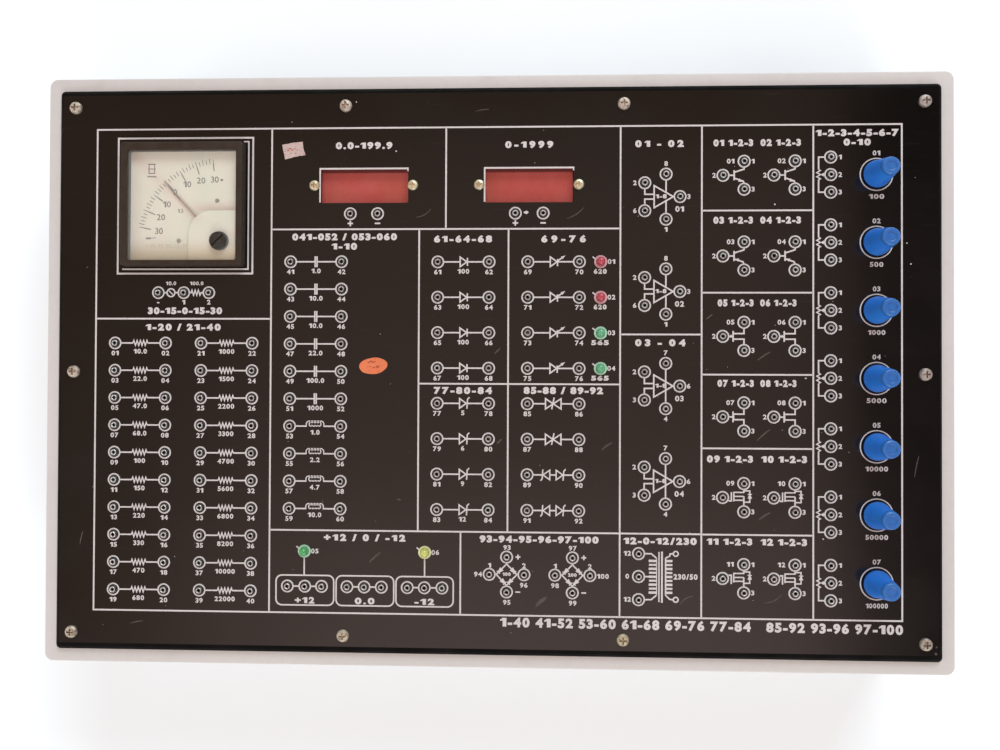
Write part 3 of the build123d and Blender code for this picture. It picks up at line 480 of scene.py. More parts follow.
WEARS = {
    "case_shell": "case_paint", "base_plate": "base_paint", "base_screws": "zinc",
    "clinch_nuts": "zinc", "feet": "foot_rubber", "front_panel": "panel_laminate",
    "panel_screws": "screw_plated", "socket_ferrules": "nickel", "socket_bushings": "black_nylon",
    "socket_nuts": "nickel", "galvo_case": "meter_black", "galvo_bezel": "meter_black",
    "galvo_glass": "meter_window", "galvo_dial": "dial_cream", "galvo_cover": "dial_cream",
    "galvo_pointer": "pointer_lacquer", "galvo_coil": "copper", "galvo_magnet": "magnet_steel",
    "galvo_adjuster": "adjuster_black", "galvo_fixings": "zinc", "small_screws": "screw_cream",
    "small_nuts": "zinc", "meter_filters": "red_filter", "meter_housings": "meter_black",
    "meter_displays": "display_grey", "circuit_boards": "board_green", "leds_red": "led_red",
    "leds_green": "led_green", "led_yellow": "led_yellow", "pot_bodies": "pot_metal",
    "pot_nuts": "nickel", "resistors": "resistor_tan", "capacitors": "capacitor_blue",
    "inductors": "inductor_dark", "diodes": "epoxy_black", "chips": "epoxy_black",
    "transistors": "epoxy_black", "heat_sink": "sink_aluminium", "transformer_core": "core_steel",
    "transformer_winding": "winding_tape", "inlet_module": "inlet_black", "inlet_pins": "brass",
    "fuse_drawer": "inlet_black", "fuse": "fuse_glass", "rocker": "rocker_black",
}
for i in range(1, 8):
    WEARS["knob_%d" % i] = "knob_blue"
    WEARS["shaft_%d" % i] = "zinc"
for name, obj in NODES.items():
    m = M[WEARS[name]]
    if len(obj.data.materials) == 0:
        obj.data.materials.append(m)
    for s in range(len(obj.data.materials)):
        obj.data.materials[s] = m


# ---------------------------------------------------------------- flat print

GLYPHS = {}


def glyph(ch, bold):
    """Outline of one character of the built-in font, as flat verts and faces, cap height 1."""
    key = (ch, bold)
    if key in GLYPHS:
        return GLYPHS[key]
    if ch == "1":
        w = 0.09 + bold
        vs = [(0.11, 0.0), (0.11 + 2 * w, 0.0), (0.11 + 2 * w, CAP), (0.11, CAP), (-0.08, CAP * 0.80), (-0.08, CAP * 0.62), (0.11, CAP * 0.72)]
        GLYPHS[key] = ([(x, y + CAP0) for x, y in vs], [(0, 1, 2, 3, 6), (3, 4, 5, 6)])
        return GLYPHS[key]
    cu = bpy.data.curves.new("g", "FONT")
    cu.body = ch
    cu.size = 1.0
    cu.resolution_u = 3
    cu.offset = bold
    ob = bpy.data.objects.new("g", cu)
    SCENE.collection.objects.link(ob)
    bpy.context.view_layer.update()
    ev = ob.evaluated_get(bpy.context.evaluated_depsgraph_get())
    me = ev.to_mesh()
    vs = [(v.co.x, v.co.y) for v in me.vertices]
    fs = [tuple(p.vertices) for p in me.polygons]
    ev.to_mesh_clear()
    bpy.data.objects.remove(ob)
    bpy.data.curves.remove(cu)
    GLYPHS[key] = (vs, fs)
    return GLYPHS[key]


def cap_height():
    vs, _ = glyph("8", 0.0)
    ys = [v[1] for v in vs]
    return max(ys) - min(ys), min(ys)


CAP, CAP0 = cap_height()


class Print:
    """Flat artwork extruded into a thin closed skin between two heights. Millimetres about the panel centre."""

    def __init__(self, z0, z1):
        self.z0, self.z1 = z0, z1
        self.k = 0
        self.v, self.f = [], []

    def flat(self, verts, faces):
        n = len(verts)
        o = len(self.v)
        # strokes that cross never share a top plane
        self.k = (self.k + 1) % 11
        top = self.z1 + 0.004 * self.k
        # orient every face up
        up = []
        for f in faces:
            a = sum(verts[f[i]][0] * verts[f[(i + 1) % len(f)]][1] - verts[f[(i + 1) % len(f)]][0] * verts[f[i]][1]
                    for i in range(len(f)))
            up.append(tuple(f) if a >= 0 else tuple(reversed(f)))
        self.v += [(x, y, top) for x, y in verts]
        self.v += [(x, y, self.z0) for x, y in verts]
        edges = set()
        for f in up:
            for i in range(len(f)):
                edges.add((f[i], f[(i + 1) % len(f)]))
        for f in up:
            self.f.append(tuple(o + i for i in f))
            self.f.append(tuple(o + n + i for i in reversed(f)))
        for a, b in edges:
            if (b, a) not in edges:
                self.f.append((o + b, o + a, o + n + a, o + n + b))

    def ribbon(self, pts, w, closed=False):
        """A line of width w through pts, mitred."""
        p = [np.array(q, float) for q in pts]
        n = len(p)
        left, right = [], []
        for i in range(n):
            if closed:
                a, b, c = p[i - 1], p[i], p[(i + 1) % n]
            else:
                a, b, c = p[max(0, i - 1)], p[i], p[min(n - 1, i + 1)]
            d1, d2 = b - a, c - b
            if np.linalg.norm(d1) < 1e-9:
                d1 = d2
            if np.linalg.norm(d2) < 1e-9:
                d2 = d1
            d1, d2 = d1 / np.linalg.norm(d1), d2 / np.linalg.norm(d2)
            n1, n2 = np.array([-d1[1], d1[0]]), np.array([-d2[1], d2[0]])
            m = n1 + n2
            if np.linalg.norm(m) < 1e-6:
                m = n1
            m = m / np.linalg.norm(m)
            k = (w / 2) / max(0.35, float(m @ n1))
            left.append(tuple(b + m * k))
            right.append(tuple(b - m * k))
        faces = []
        last = n if closed else n - 1
        for i in range(last):
            j = (i + 1) % n
            faces.append((i, n + i, n + j, j))
        self.flat(left + right, faces)

    def line(self, x0, y0, x1, y1, w=1.0):
        self.ribbon([(x0, y0), (x1, y1)], w)

    def ring(self, x, y, ro, ri, n=36, a0=0.0, a1=360.0):
        full = abs(a1 - a0) >= 359.9
        m = n if full else n + 1
        ang = [math.radians(a0 + (a1 - a0) * i / n) for i in range(m)]
        vs = [(x + ro * math.cos(a), y + ro * math.sin(a)) for a in ang]
        vs += [(x + ri * math.cos(a), y + ri * math.sin(a)) for a in ang]
        fs = []
        for i in range(n):
            j = (i + 1) % m
            fs.append((i, j, m + j, m + i))
        self.flat(vs, fs)

    def disc(self, x, y, r, n=16, sx=1.0):
        self.flat([(x + sx * r * math.cos(2 * math.pi * i / n), y + r * math.sin(2 * math.pi * i / n)) for i in range(n)],
                  [tuple(range(n))])

    def poly(self, pts):
        self.flat(list(pts), [tuple(range(len(pts)))])

    def plus(self, x, y, r=1.6, w=0.9):
        h = w / 2
        p = [(-h, -h), (h, -h), (h, h), (-h, h), (-h, -r), (h, -r), (r, -h), (r, h), (h, r), (-h, r), (-r, h), (-r, -h)]
        self.flat([(x + a, y + b) for a, b in p],
                  [(0, 1, 2, 3), (4, 5, 1, 0), (1, 6, 7, 2), (3, 2, 8, 9), (11, 0, 3, 10)])

    def text(self, s, x, y, h, bold=0.0, gap=0.1, rot=0.0, wide=1.0):
        """Text centred on x, y with cap height h."""
        k = h / CAP
        cur, parts = 0.0, []
        for ch in s:
            if ch == " ":
                cur += 0.34
                continue
            vs, fs = glyph(ch, bold)
            x0, x1 = min(v[0] for v in vs), max(v[0] for v in vs)
            parts.append((vs, fs, cur - x0))
            cur += (x1 - x0) + gap * 0.7
        total = cur - gap * 0.7
        c, sn = math.cos(math.radians(rot)), math.sin(math.radians(rot))
        for vs, fs, dx in parts:
            out = []
            for u, v in vs:
                a = (u + dx - total / 2) * k * wide
                b = (v - CAP0 - CAP / 2) * k
                out.append((x + a * c - b * sn, y + a * sn + b * c))
            self.flat(out, fs)

    def measure(self, s, h, bold, gap, wide):
        cur = 0.0
        for ch in s:
            if ch == " ":
                cur += 0.34
                continue
            vs, _ = glyph(ch, bold)
            cur += max(v[0] for v in vs) - min(v[0] for v in vs) + gap * 0.7
        return (cur - gap * 0.7) * h / CAP * wide

    def make(self, name, material, body="chassis", slot=None):
        me = bpy.data.meshes.new(name)
        me.from_pydata([(x * MM, (y + Y_SHIFT) * MM, z * MM) for x, y, z in self.v], [], self.f)
        me.materials.append(M[material])
        me.validate()
        me.update()
        ob = bpy.data.objects.new(name, me)
        SCENE.collection.objects.link(ob)
        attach(ob, body)
        return ob


INK = Print(ZP - 0.02, ZP + 0.05)
W1 = 0.85   # circuit lines
WF = 0.96   # frame lines
SH = 2.6    # small figures
RO, RI = 3.75, 2.9


def socket(x, y):
    INK.ring(x, y, RO, RI)


def label(s, x, y, h=SH):
    t = "%02d" % s if isinstance(s, int) else s
    INK.text(t, x, y, h, bold=0.035, gap=0.13, wide=1.12)


def title(s, x, y, width=0.0, h=3.5):
    """Heavy figures, opened up or closed up until the line is as wide as asked, within reason."""
    n = max(1, len(s.replace(" ", "")) - 1)
    wide = 1.3
    base = INK.measure(s, h, 0.065, 0.14, wide)
    gap = 0.14
    if width > base:
        gap = min(0.48, 0.14 + (width - base) / (n * (h / CAP) * wide * 0.7))
    elif width:
        wide = max(0.92, wide * width / base)
    INK.text(s, x, y, h, bold=0.065, gap=gap, wide=wide)


# frame and dividers
OX, OY = 235.0, 142.2
INK.ribbon([(-OX, -OY), (OX, -OY), (OX, OY), (-OX, OY)], WF, closed=True)
for x, y0, y1 in ((-130.1, -OY, OY), (-27.1, 82.6, OY), (-42.7, -94.0, 82.6), (9.6, -94.0, 82.6), (74.5, -OY, OY),
                  (-17.7, -OY, -94.0), (121.3, -OY, OY), (184.9, -OY, OY)):
    INK.line(x, y0 + 0.6, x, y1 - 0.6, WF)
for y, x0, x1 in ((29.9, -OX, -130.1), (82.6, -130.1, 74.5), (-7.9, -42.7, 74.5), (21.1, 74.5, 121.3),
                  (-94.0, -130.1, 121.3), (92.8, 121.3, 184.9), (45.3, 121.3, 184.9), (-2.0, 121.3, 184.9),
                  (-44.5, 121.3, 184.9), (-94.1, 121.3, 184.9)):
    INK.line(x0 + 0.6, y, x1 - 0.6, y, WF)

# moving-coil meter: one square printed round it, one showing as an edge line at its right and foot
INK.ribbon([(-222.2, 56.6), (-141.4, 56.6), (-141.4, 136.9), (-222.2, 136.9)], 1.05, closed=True)
INK.ribbon([(-219.4, 59.2), (-144.0, 59.2), (-144.0, 134.6)], 0.85)
INK.line(-147.0, 134.6, -143.6, 134.6, 0.7)

# meter sockets row
for x in (-197.6, -182.3, -167.3):
    socket(x, 45.3)
INK.ring(-190.0, 45.3, 2.75, 1.95, 28)
INK.line(-191.2, 46.5, -188.8, 44.1, 0.6)
INK.line(-194.1, 45.3, -192.5, 45.3, W1)
INK.line(-187.5, 45.3, -185.8, 45.3, W1)
zig = [(-178.8, 45.3), (-177.9, 45.3)]
for i in range(6):
    zig.append((-177.4 + i * 0.95, 45.3 + (1.5 if i % 2 == 0 else -1.5)))
zig += [(-171.9, 45.3), (-170.8, 45.3)]
INK.ribbon(zig, 0.75)
label("-", -197.6, 39.9, 3.0)
label("1", -182.3, 39.7)
label("2", -167.3, 39.7)
label("10.0", -190.0, 50.8, 2.0)
label("100.0", -174.6, 50.8, 2.0)
title("30-15-0-15-30", -181.5, 34.6, 44.5)


def zigzag(x0, x1, y, half=4.4, amp=1.45, n=9, w=0.72):
    m = (x0 + x1) / 2
    pts = [(x0 + 3.6, y), (m - half, y)]
    step = 2 * half / n
    for i in range(n):
        pts.append((m - half + (i + 0.5) * step, y + (amp if i % 2 == 0 else -amp)))
    pts += [(m + half, y), (x1 - 3.6, y)]
    INK.line(x0 + 3.6, y, m - half, y, W1)
    INK.line(m + half, y, x1 - 3.6, y, W1)
    INK.ribbon(pts[1:-1], w)


# resistor bank
title("1-20 / 21-40", -182.5, 24.9, 45)
VALUES = ["10.0", "22.0", "47.0", "68.0", "100", "150", "220", "330", "470", "680",
          "1000", "1500", "2200", "3300", "4700", "5600", "6800", "8200", "10000", "22000"]
for c, (x0, x1) in enumerate(((-223.3, -193.0), (-171.7, -141.2))):
    for r in range(10):
        y = 15.5 - 16.16 * r
        socket(x0, y)
        socket(x1, y)
        zigzag(x0, x1, y)
        label(VALUES[c * 10 + r], (x0 + x1) / 2, y - 4.9)
        label(1 + 20 * c + 2 * r, x0, y - 6.0)
        label(2 + 20 * c + 2 * r, x1, y - 6.0)

# digital meters: printed edge shows along the top and left of each window
for cx, a, b, t, w in ((-75.6, -101.5, -49.5, "0.0-199.9", 33.5), (21.35, -4.6, 47.3, "0-1999", 28)):
    title(t, cx + 0.1, 131.8, w)
    INK.line(a + 0.1, 118.25, b + 0.4, 118.25, 1.0)
    INK.line(a + 0.1, 98.4, a + 0.1, 118.7, 0.9)
    INK.line(b + 0.0, 118.2, b + 0.0, 116.6, 0.7)
for x, s in ((-83.4, "+"), (-67.3, "-"), (13.5, "+"), (29.7, "-")):
    socket(x, 91.7)
    if s == "+":
        INK.plus(x, 86.0)
    else:
        INK.line(x - 1.6, 86.0, x + 1.6, 86.0, 0.9)

# capacitors and inductors
title("041-052 / 053-060", -86.8, 78.1, 62)
title("1-10", -86.8, 72.5, 15)
CV = ["1.0", "10.0", "10.0", "22.0", "100.0", "1000", "1.0", "2.2", "4.7", "10.0"]
for r in range(10):
    y = 63.5 - 16.1 * r
    x0, x1 = -118.6, -88.4
    m = (x0 + x1) / 2
    socket(x0, y)
    socket(x1, y)
    if r < 6:
        INK.line(x0 + 3.6, y, m - 0.6, y, W1)
        INK.line(m + 0.6, y, x1 - 3.6, y, W1)
        INK.line(m - 0.55, y - 3.2, m - 0.55, y + 3.2, 0.85)
        INK.line(m + 0.55, y - 3.2, m + 0.55, y + 3.2, 0.85)
        label(CV[r], m, y - 5.4)
    else:
        INK.line(x0 + 3.6, y, m - 5.2, y, W1)
        INK.line(m + 5.0, y, x1 - 3.6, y, W1)
        coil = []
        for i in range(81):
            t = i / 80
            a = math.pi * (1.0 - t * 9.0)
            coil.append((m - 3.9 + 7.8 * t + 1.3 * math.cos(a), y + 1.5 + 1.5 * math.sin(a)))
        INK.ribbon([(m - 5.2, y - 0.4)] + coil + [(m + 5.2, y - 0.4)], 0.62)
        label(CV[r], m, y - 3.6)
    label(41 + 2 * r, x0, y - 5.9)
    label(42 + 2 * r, x1, y - 5.9)


def tri(x, y, d, w=0.8, base=1.9, tip=2.0, half=2.8):
    """An outlined diode triangle pointing along d (+1 right, -1 left)."""
    INK.ribbon([(x - d * base, y - half), (x + d * tip, y), (x - d * base, y + half)], w, closed=True)


def pair_rows(xs, y0, step, n, first, kind, values):
    x0, x1 = xs
    for r in range(n):
        y = y0 - step * r
        m = (x0 + x1) / 2
        socket(x0, y)
        socket(x1, y)
        kind(x0, x1, m, y, r)
        if values:
            label(values[r], m, y - 5.5)
        label(first + 2 * r, x0, y - 5.9)
        label(first + 1 + 2 * r, x1, y - 5.9)


def k_diode(x0, x1, m, y, r):
    INK.line(x0 + 3.6, y, m - 1.8, y, W1)
    INK.line(m + 2.0, y, x1 - 3.6, y, W1)
    tri(m, y, 1)
    INK.line(m + 2.35, y - 2.3, m + 2.35, y + 2.3, 0.8)


def k_led(x0, x1, m, y, r):
    INK.line(x0 + 3.6, y, m - 1.8, y, W1)
    INK.line(m + 2.0, y, x1 - 3.6, y, W1)
    tri(m, y, 1)
    INK.line(m + 2.3, y - 2.6, m + 2.3, y + 1.6, 0.8)
    INK.line(m + 2.3, y + 0.5, m + 5.4, y + 2.6, 0.8)
    INK.poly([(m + 4.2, y + 2.9), (m + 5.2, y + 1.5), (m + 6.9, y + 3.7)])


def k_zener(x0, x1, m, y, r):
    INK.line(x0 + 3.6, y, m - 1.8, y, W1)
    INK.line(m + 2.0, y, x1 - 3.6, y, W1)
    tri(m, y, 1)
    INK.ribbon([(m + 3.9, y + 3.6), (m + 2.7, y + 2.4), (m + 2.4, y - 3.2)], 0.75)


def k_transorb(x0, x1, m, y, r):
    if r < 2:
        INK.line(x0 + 3.6, y, m - 4.4, y, W1)
        INK.line(m + 4.5, y, x1 - 3.6, y, W1)
        INK.ribbon([(m - 4.4, y - 3.0), (m, y), (m - 4.4, y + 3.0)], 0.8, closed=True)
        INK.ribbon([(m + 4.6, y - 3.0), (m, y), (m + 4.6, y + 3.0)], 0.8, closed=True)
        INK.ribbon([(m - 0.8, y - 3.2), (m - 0.2, y), (m + 0.6, y + 3.6)], 0.8)
    else:
        INK.line(x0 + 3.6, y, m - 5.6, y, W1)
        INK.line(m + 5.6, y, x1 - 3.6, y, W1)
        INK.line(m - 1.9, y, m + 1.9, y, W1)
        tri(m - 3.7, y, -1, 0.75)
        tri(m + 3.8, y, 1, 0.75)
        INK.ribbon([(m - 7.2, y - 3.4), (m - 6.2, y - 2.2), (m - 5.8, y + 3.2)], 0.75)
        INK.ribbon([(m + 7.4, y + 3.4), (m + 6.3, y + 2.2), (m + 5.9, y - 3.2)], 0.75)


title("61-64-68", -17.0, 76.7, 34)
title("69-76", 41.6, 76.6, 28)
title("77-80-84", -16.7, -11.8, 34)
title("85-88 / 89-92", 41.7, -11.6, 46)
pair_rows((-31.7, -1.7), 63.3, 20.68, 4, 61, k_diode, ["100", "100", "100", "100"])
pair_rows((20.9, 50.8), 63.3, 20.68, 4, 69, k_led, None)
pair_rows((-31.7, -1.7), -19.3, 20.64, 4, 77, k_zener, ["5", "6", "9", "12"])
pair_rows((20.9, 50.8), -19.3, 20.64, 4, 85, k_transorb, None)

# lamp rings: white print with each lamp's colour painted on as glow
LAMPS = [(63.2, 63.3, 1), (63.2, 42.6, 2), (63.2, 21.9, 3), (63.2, 1.3, 4), (-109.4, -106.3, 5), (-38.6, -106.3, 6)]
HALO = {"red": Print(ZP - 0.02, ZP + 0.05), "green": Print(ZP - 0.02, ZP + 0.05), "yellow": Print(ZP - 0.02, ZP + 0.05)}
for x, y, n in LAMPS:
    halo = HALO[{1: "red", 2: "red", 6: "yellow"}.get(n, "green")]
    halo.ring(x, y, 3.8, 2.65)
    INK.poly([(x - 4.95, y + 2.55), (x - 4.35, y + 3.15), (x - 3.05, y + 1.95), (x - 3.4, y + 1.3)])
    label(n, x + 6.2, y + 0.1)
    if n <= 4:
        INK.text("620" if n < 3 else "565", x - 0.3, y - 5.6, 2.5, bold=0.06, gap=0.15, wide=1.12 if n < 3 else 1.6)

# timers and amplifiers
title("01 - 02", 96.9, 131.8, 28)
title("03 - 04", 97.6, 16.3, 29)
for i, y in enumerate(IC_Y):
    for x, dy in ((100.75, 13.1), (88.5, 8.1), (108.8, 0.0), (88.5, -8.1), (100.75, -13.1)):
        socket(x, y + dy)
    INK.ribbon([(93.9, y - 6.4), (104.9, y), (93.9, y + 6.4)], W1, closed=True)
    for s in (1, -1):
        INK.ribbon([(88.5, y + s * 4.5), (88.5, y + s * 1.4), (93.8, y + s * 1.4)], W1)
        INK.line(100.75, y + s * 9.4, 100.75, y + s * (2.2 if i < 2 else 0.0), W1)
    INK.text("1-8", 97.9, y + 0.2, 2.2, bold=0.05, gap=0.12, wide=1.35)
    pins = (("8", "2", "3", "6", "1") if i < 2 else ("7", "2", "6", "3", "4"))
    label(pins[0], 100.75, y + 19.2)
    label(pins[1], 82.8, y + 8.1)
    label(pins[2], 113.9, y)
    label(pins[3], 82.8, y - 8.1)
    label(pins[4], 100.75, y - 19.0)
    label(i + 1, 108.6, y - 7.2, 3.0)


# three-terminal cells
def cell(x, y, kind, n):
    """Base or gate at (x, y), the other two at x + 12.1, y +- 8.1."""
    cx = x + 12.1
    for a, b in ((x, y), (cx, y + 8.1), (cx, y - 8.1)):
        socket(a, b)
    if kind in ("npn", "pnp"):
        bx = x + 6.4
        INK.line(x + 3.6, y, bx, y, W1)
        INK.line(bx, y - 2.9, bx, y + 2.9, 0.9)
        INK.ribbon([(bx, y + 1.7), (cx - 0.1, y + 3.5), (cx, y + 4.6)], 0.85)
        INK.ribbon([(bx, y - 1.7), (cx - 0.6, y - 3.4), (cx, y - 4.6)], 0.85)
        if kind == "npn":
            INK.poly([(cx - 2.7, y - 1.9), (cx - 0.3, y - 3.9), (cx - 3.4, y - 3.7)])
        else:
            INK.poly([(bx + 0.3, y - 1.6), (bx + 2.9, y - 1.5), (bx + 2.3, y - 3.3)])
    elif kind in ("nfet", "pfet"):
        bx = x + 5.9
        INK.line(x + 3.6, y, bx, y, W1)
        INK.line(bx, y - 3.1, bx, y + 3.1, 0.85)
        INK.ribbon([(bx, y + 1.6), (cx, y + 1.6), (cx, y + 4.6)], W1)
        INK.ribbon([(bx, y - 1.6), (cx, y - 1.6), (cx, y - 4.6)], W1)
        d = 1 if kind == "nfet" else -1
        INK.poly([(bx - 1.1 * d - 0.4, y + 1.0), (bx - 1.1 * d - 0.4, y - 1.0), (bx + 0.6 * d - 0.4, y)])
    else:
        s = 1 if kind == "nmos" else -1
        gx = x + 5.0
        INK.ribbon([(x + 3.4, y - s * 1.9), (gx, y - s * 1.9), (gx, y + s * 3.1)], 0.85)
        INK.line(gx + 1.4, y - 2.2, gx + 1.4, y + 3.2, 0.8)
        for k in (3.0, 0.7, -1.5):
            INK.line(gx + 1.2, y + k, cx, y + k, 0.75)
        INK.line(cx, y + 2.7, cx, y + 4.6, W1)
        INK.line(cx, y + 0.7, cx, y - 4.6, W1)
        INK.ribbon([(cx, y + 3.9), (cx + 3.4, y + 3.9), (cx + 3.4, y - 2.6), (cx, y - 2.6)], 0.75)
        INK.poly([(cx + 2.1, y - 0.5), (cx + 4.7, y - 0.5), (cx + 3.7, y + 1.7), (cx + 3.1, y + 1.7)])
        INK.line(cx + 2.2, y + 1.9, cx + 4.6, y + 1.9, 0.6)
    label(n, cx - 7.7, y + 8.2)
    label("1", cx + 5.1, y + 8.1)
    label("2", x - 5.1, y)
    label("3", cx + 5.1, y - 8.1)


TITLES = ["01 1-2-3  02 1-2-3", "03 1-2-3  04 1-2-3", "05 1-2-3  06 1-2-3", "07 1-2-3  08 1-2-3", "09 1-2-3  10 1-2-3", "11 1-2-3  12 1-2-3"]
KINDS = ["npn", "pnp", "nfet", "pfet", "nmos", "pmos"]
for i, y in enumerate(TR_Y):
    title(TITLES[i], 152.9, (132.0, 87.2, 39.4, -7.0, -50.6, -98.1)[i], (50, 50, 45, 45, 57, 57)[i])
    cell(133.4, y, KINDS[i], 2 * i + 1)
    cell(162.5, y, KINDS[i], 2 * i + 2)

# potentiometers
title("1-2-3-4-5-6-7", 209.8, 137.4, 47)
title("0-10", 209.8, 132.0, 15.5)
PV = ["100", "500", "1000", "5000", "10000", "50000", "100000"]
PW = [8.7, 7.6, 9.9, 11.2, 12.8, 12.8, 12.4]
for i, y in enumerate(KNOB_Y):
    for s, n in ((10.1, "1"), (0.0, "2"), (-10.1, "3")):
        socket(194.8, y + s)
        label(n, 200.2, y + s)
    bx = 187.9
    pts = [(bx, y + 3.0)]
    for k in range(5):
        pts.append((bx + (1.0 if k % 2 == 0 else -1.0), y + 2.4 - k * 1.2))
    pts.append((bx, y - 3.0))
    INK.ribbon([(191.2, y + 10.1), (bx, y + 10.1), (bx, y + 3.0)], W1)
    INK.ribbon([(191.2, y - 10.1), (bx, y - 10.1), (bx, y - 3.0)], W1)
    INK.ribbon(pts, 0.7)
    INK.line(190.6, y, 191.3, y, W1)
    INK.poly([(190.9, y + 1.1), (189.0, y), (190.9, y - 1.1)])
    INK.ring(KNOB_X, y, 9.55, 8.9, 64)
    label(i + 1, KNOB_X, y + 12.3)
    INK.text(PV[i], KNOB_X, y - 12.7, SH, bold=0.035, gap=0.13, wide=PW[i] / INK.measure(PV[i], SH, 0.035, 0.13, 1.0))

# fixed supply
title("+12 / 0 / -12", -73.9, -98.1, 48)
for x0, x1, s in ((-126.0, -91.9, "+12"), (-90.5, -56.6, "0.0"), (-55.3, -21.8, "-12")):
    y0, y1, r = -137.8, -120.4, 3.4
    pts = []
    for cx, cy, a in ((x1 - r, y1 - r, 0), (x0 + r, y1 - r, 90), (x0 + r, y0 + r, 180), (x1 - r, y0 + r, 270)):
        for k in range(6):
            t = math.radians(a + 18 * k)
            pts.append((cx + r * math.cos(t), cy + r * math.sin(t)))
    INK.ribbon(pts, 0.85, closed=True)
    INK.text(s, (x0 + x1) / 2 - 0.1, -135.0, 3.4, bold=0.05, gap=0.2, wide=11.6 / INK.measure(s, 3.4, 0.05, 0.2, 1.0))
for g in ((-119.3, -109.0, -99.1), (-84.1, -74.0, -63.9), (-48.7, -38.7, -28.4)):
    for x in g:
        socket(x, -126.8)
    for a, b in zip(g, g[1:]):
        INK.line(a + 3.6, -126.8, b - 3.6, -126.8, W1)
for x in (-109.4, -38.6):
    INK.line(x, -110.0, x, -120.0, W1)

# bridges
title("93-94-95-96-97-100", 27.9, -98.0, 69)
for i, x in enumerate((9.2, 47.3)):
    y = -118.5
    for a, b in ((x, y + 10.1), (x - 10.1, y), (x + 10.1, y), (x, y - 10.1)):
        socket(a, b)
    INK.ribbon([(x, y + 6.1), (x - 6.0, y), (x, y - 6.3), (x + 6.0, y)], 0.8, closed=True)
    for (ax, ay), (dx, dy) in (((-3.8, 2.2), (-1, -1)), ((3.8, 2.2), (1, -1)), ((-2.0, -4.1), (1, -1)), ((2.0, -4.1), (-1, -1))):
        u = np.array([dx, dy], float) / math.sqrt(2)
        v = np.array([-u[1], u[0]])
        c = np.array([x + ax, y + ay])
        INK.poly([tuple(c - u * 1.5 + v * 1.35), tuple(c - u * 1.5 - v * 1.35), tuple(c + u * 1.1 - v * 0.6), tuple(c + u * 1.1 + v * 0.6)])
        INK.line(*(c + u * 1.35 + v * 1.2), *(c + u * 1.35 - v * 1.2), 0.6)
    INK.text(str(100 * i + 100), x, y + 0.2, 1.75, bold=0.06, wide=1.1)
    INK.plus(x + 6.6, y + 10.2, 1.4, 0.85)
    INK.line(x + 5.2, y - 10.1, x + 8.0, y - 10.1, 0.8)
    n = 93 + 4 * i
    label(n, x + 0.2, y + 15.6)
    label("1", x - 9.9, y + 5.2)
    label("2", x + 10.1, y + 5.2)
    if i == 0:
        label(n + 1, x - 16.6, y)
        label(n + 3, x + 10.0, y - 6.1)
    else:
        label(n + 1, x - 10.0, y - 6.1)
        label(n + 3, x + 17.6, y - 0.4)
    label(n + 2, x + 0.2, y - 16.1)

# transformer
title("12-0-12/230", 97.7, -98.2, 42)
for y, s in ((-105.5, "12"), (-118.7, "0"), (-132.0, "12")):
    socket(85.4, y)
    label(s, 78.9, y + 0.1)
for i in range(9):
    y = -109.6 - 2.28 * i
    w = 1.35 if i % 2 == 0 else 1.15
    INK.line(91.2 + 0.2 * (i % 2), y, 95.6, y, w)
    INK.line(101.0, y, 104.8, y, w)
INK.line(95.8, -129.0, 95.8, -108.2, 0.5)
INK.line(97.1, -133.3, 97.1, -104.4, 0.75)
INK.line(98.8, -133.6, 98.8, -104.2, 1.05)
INK.line(100.9, -129.4, 100.9, -107.9, 0.85)
INK.ribbon([(89.1, -105.5), (92.7, -105.5), (95.7, -108.0)], W1)
INK.line(89.1, -118.7, 91.6, -118.7, W1)
INK.ribbon([(89.1, -132.0), (92.7, -131.9), (95.7, -129.3)], W1)
INK.ribbon([(100.9, -107.9), (103.2, -106.8), (103.5, -105.4), (105.0, -105.4)], 0.85)
INK.ribbon([(100.9, -129.3), (103.3, -131.6), (105.0, -131.8)], 0.85)
INK.ring(106.7, -105.4, 1.8, 1.0, 24)
INK.ring(106.7, -131.8, 1.8, 1.0, 24)
INK.text("230/50", 112.3, -118.6, 2.9, bold=0.04, gap=0.12, wide=13.8 / INK.measure("230/50", 2.9, 0.04, 0.12, 1.0))

# a run of plain figures along the foot of the panel
FOOT = "1-40 41-52 53-60 61-68 69-76 77-84   85-92 93-96 97-100"
INK.text(FOOT, 120.5, -146.7, 5.0, bold=0.05, gap=0.13, rot=-0.3,
         wide=229.9 / INK.measure(FOOT, 5.0, 0.05, 0.13, 1.0))

ink = INK.make("panel_print", "ink_white")
for tag in HALO:
    HALO[tag].make("lamp_glow_rings_" + tag, "ink_" + tag)

# flecks of paint and dust the panel has picked up
FLECK = Print(ZP - 0.02, ZP + 0.12)
rnd = random.Random(7)


def blob(p, x, y, r, sx=1.0, n=9):
    pts = []
    for i in range(n):
        a = 2 * math.pi * i / n
        q = r * (0.75 + 0.5 * rnd.random())
        pts.append((x + sx * q * math.cos(a), y + q * math.sin(a)))
    p.poly(pts)


blob(FLECK, 19.8, 92.1, 0.95, 1.7)
blob(FLECK, -56.5, 128.4, 0.45)
blob(FLECK, -170.3, -17.0, 0.5)
blob(FLECK, 180.6, -4.0, 0.5)
blob(FLECK, 163.0, 96.3, 0.45)
blob(FLECK, -80.2, 157.5, 0.35)
blob(FLECK, 190.5, -96.0, 0.4)
blob(FLECK, 237.8, 73.7, 0.35)
blob(FLECK, 240.0, 61.7, 0.4)
for _ in range(46):
    blob(FLECK, rnd.uniform(-250, 250), rnd.uniform(-158, 158), rnd.uniform(0.10, 0.2), 1.0, 6)
FLECK.make("panel_flecks", "ink_white")

# scuffs: short strokes, brighter than the laminate, and two painted highlights at a corner
SCUFFS_AND_HIGHLIGHTS = Print(ZP - 0.02, ZP + 0.03)


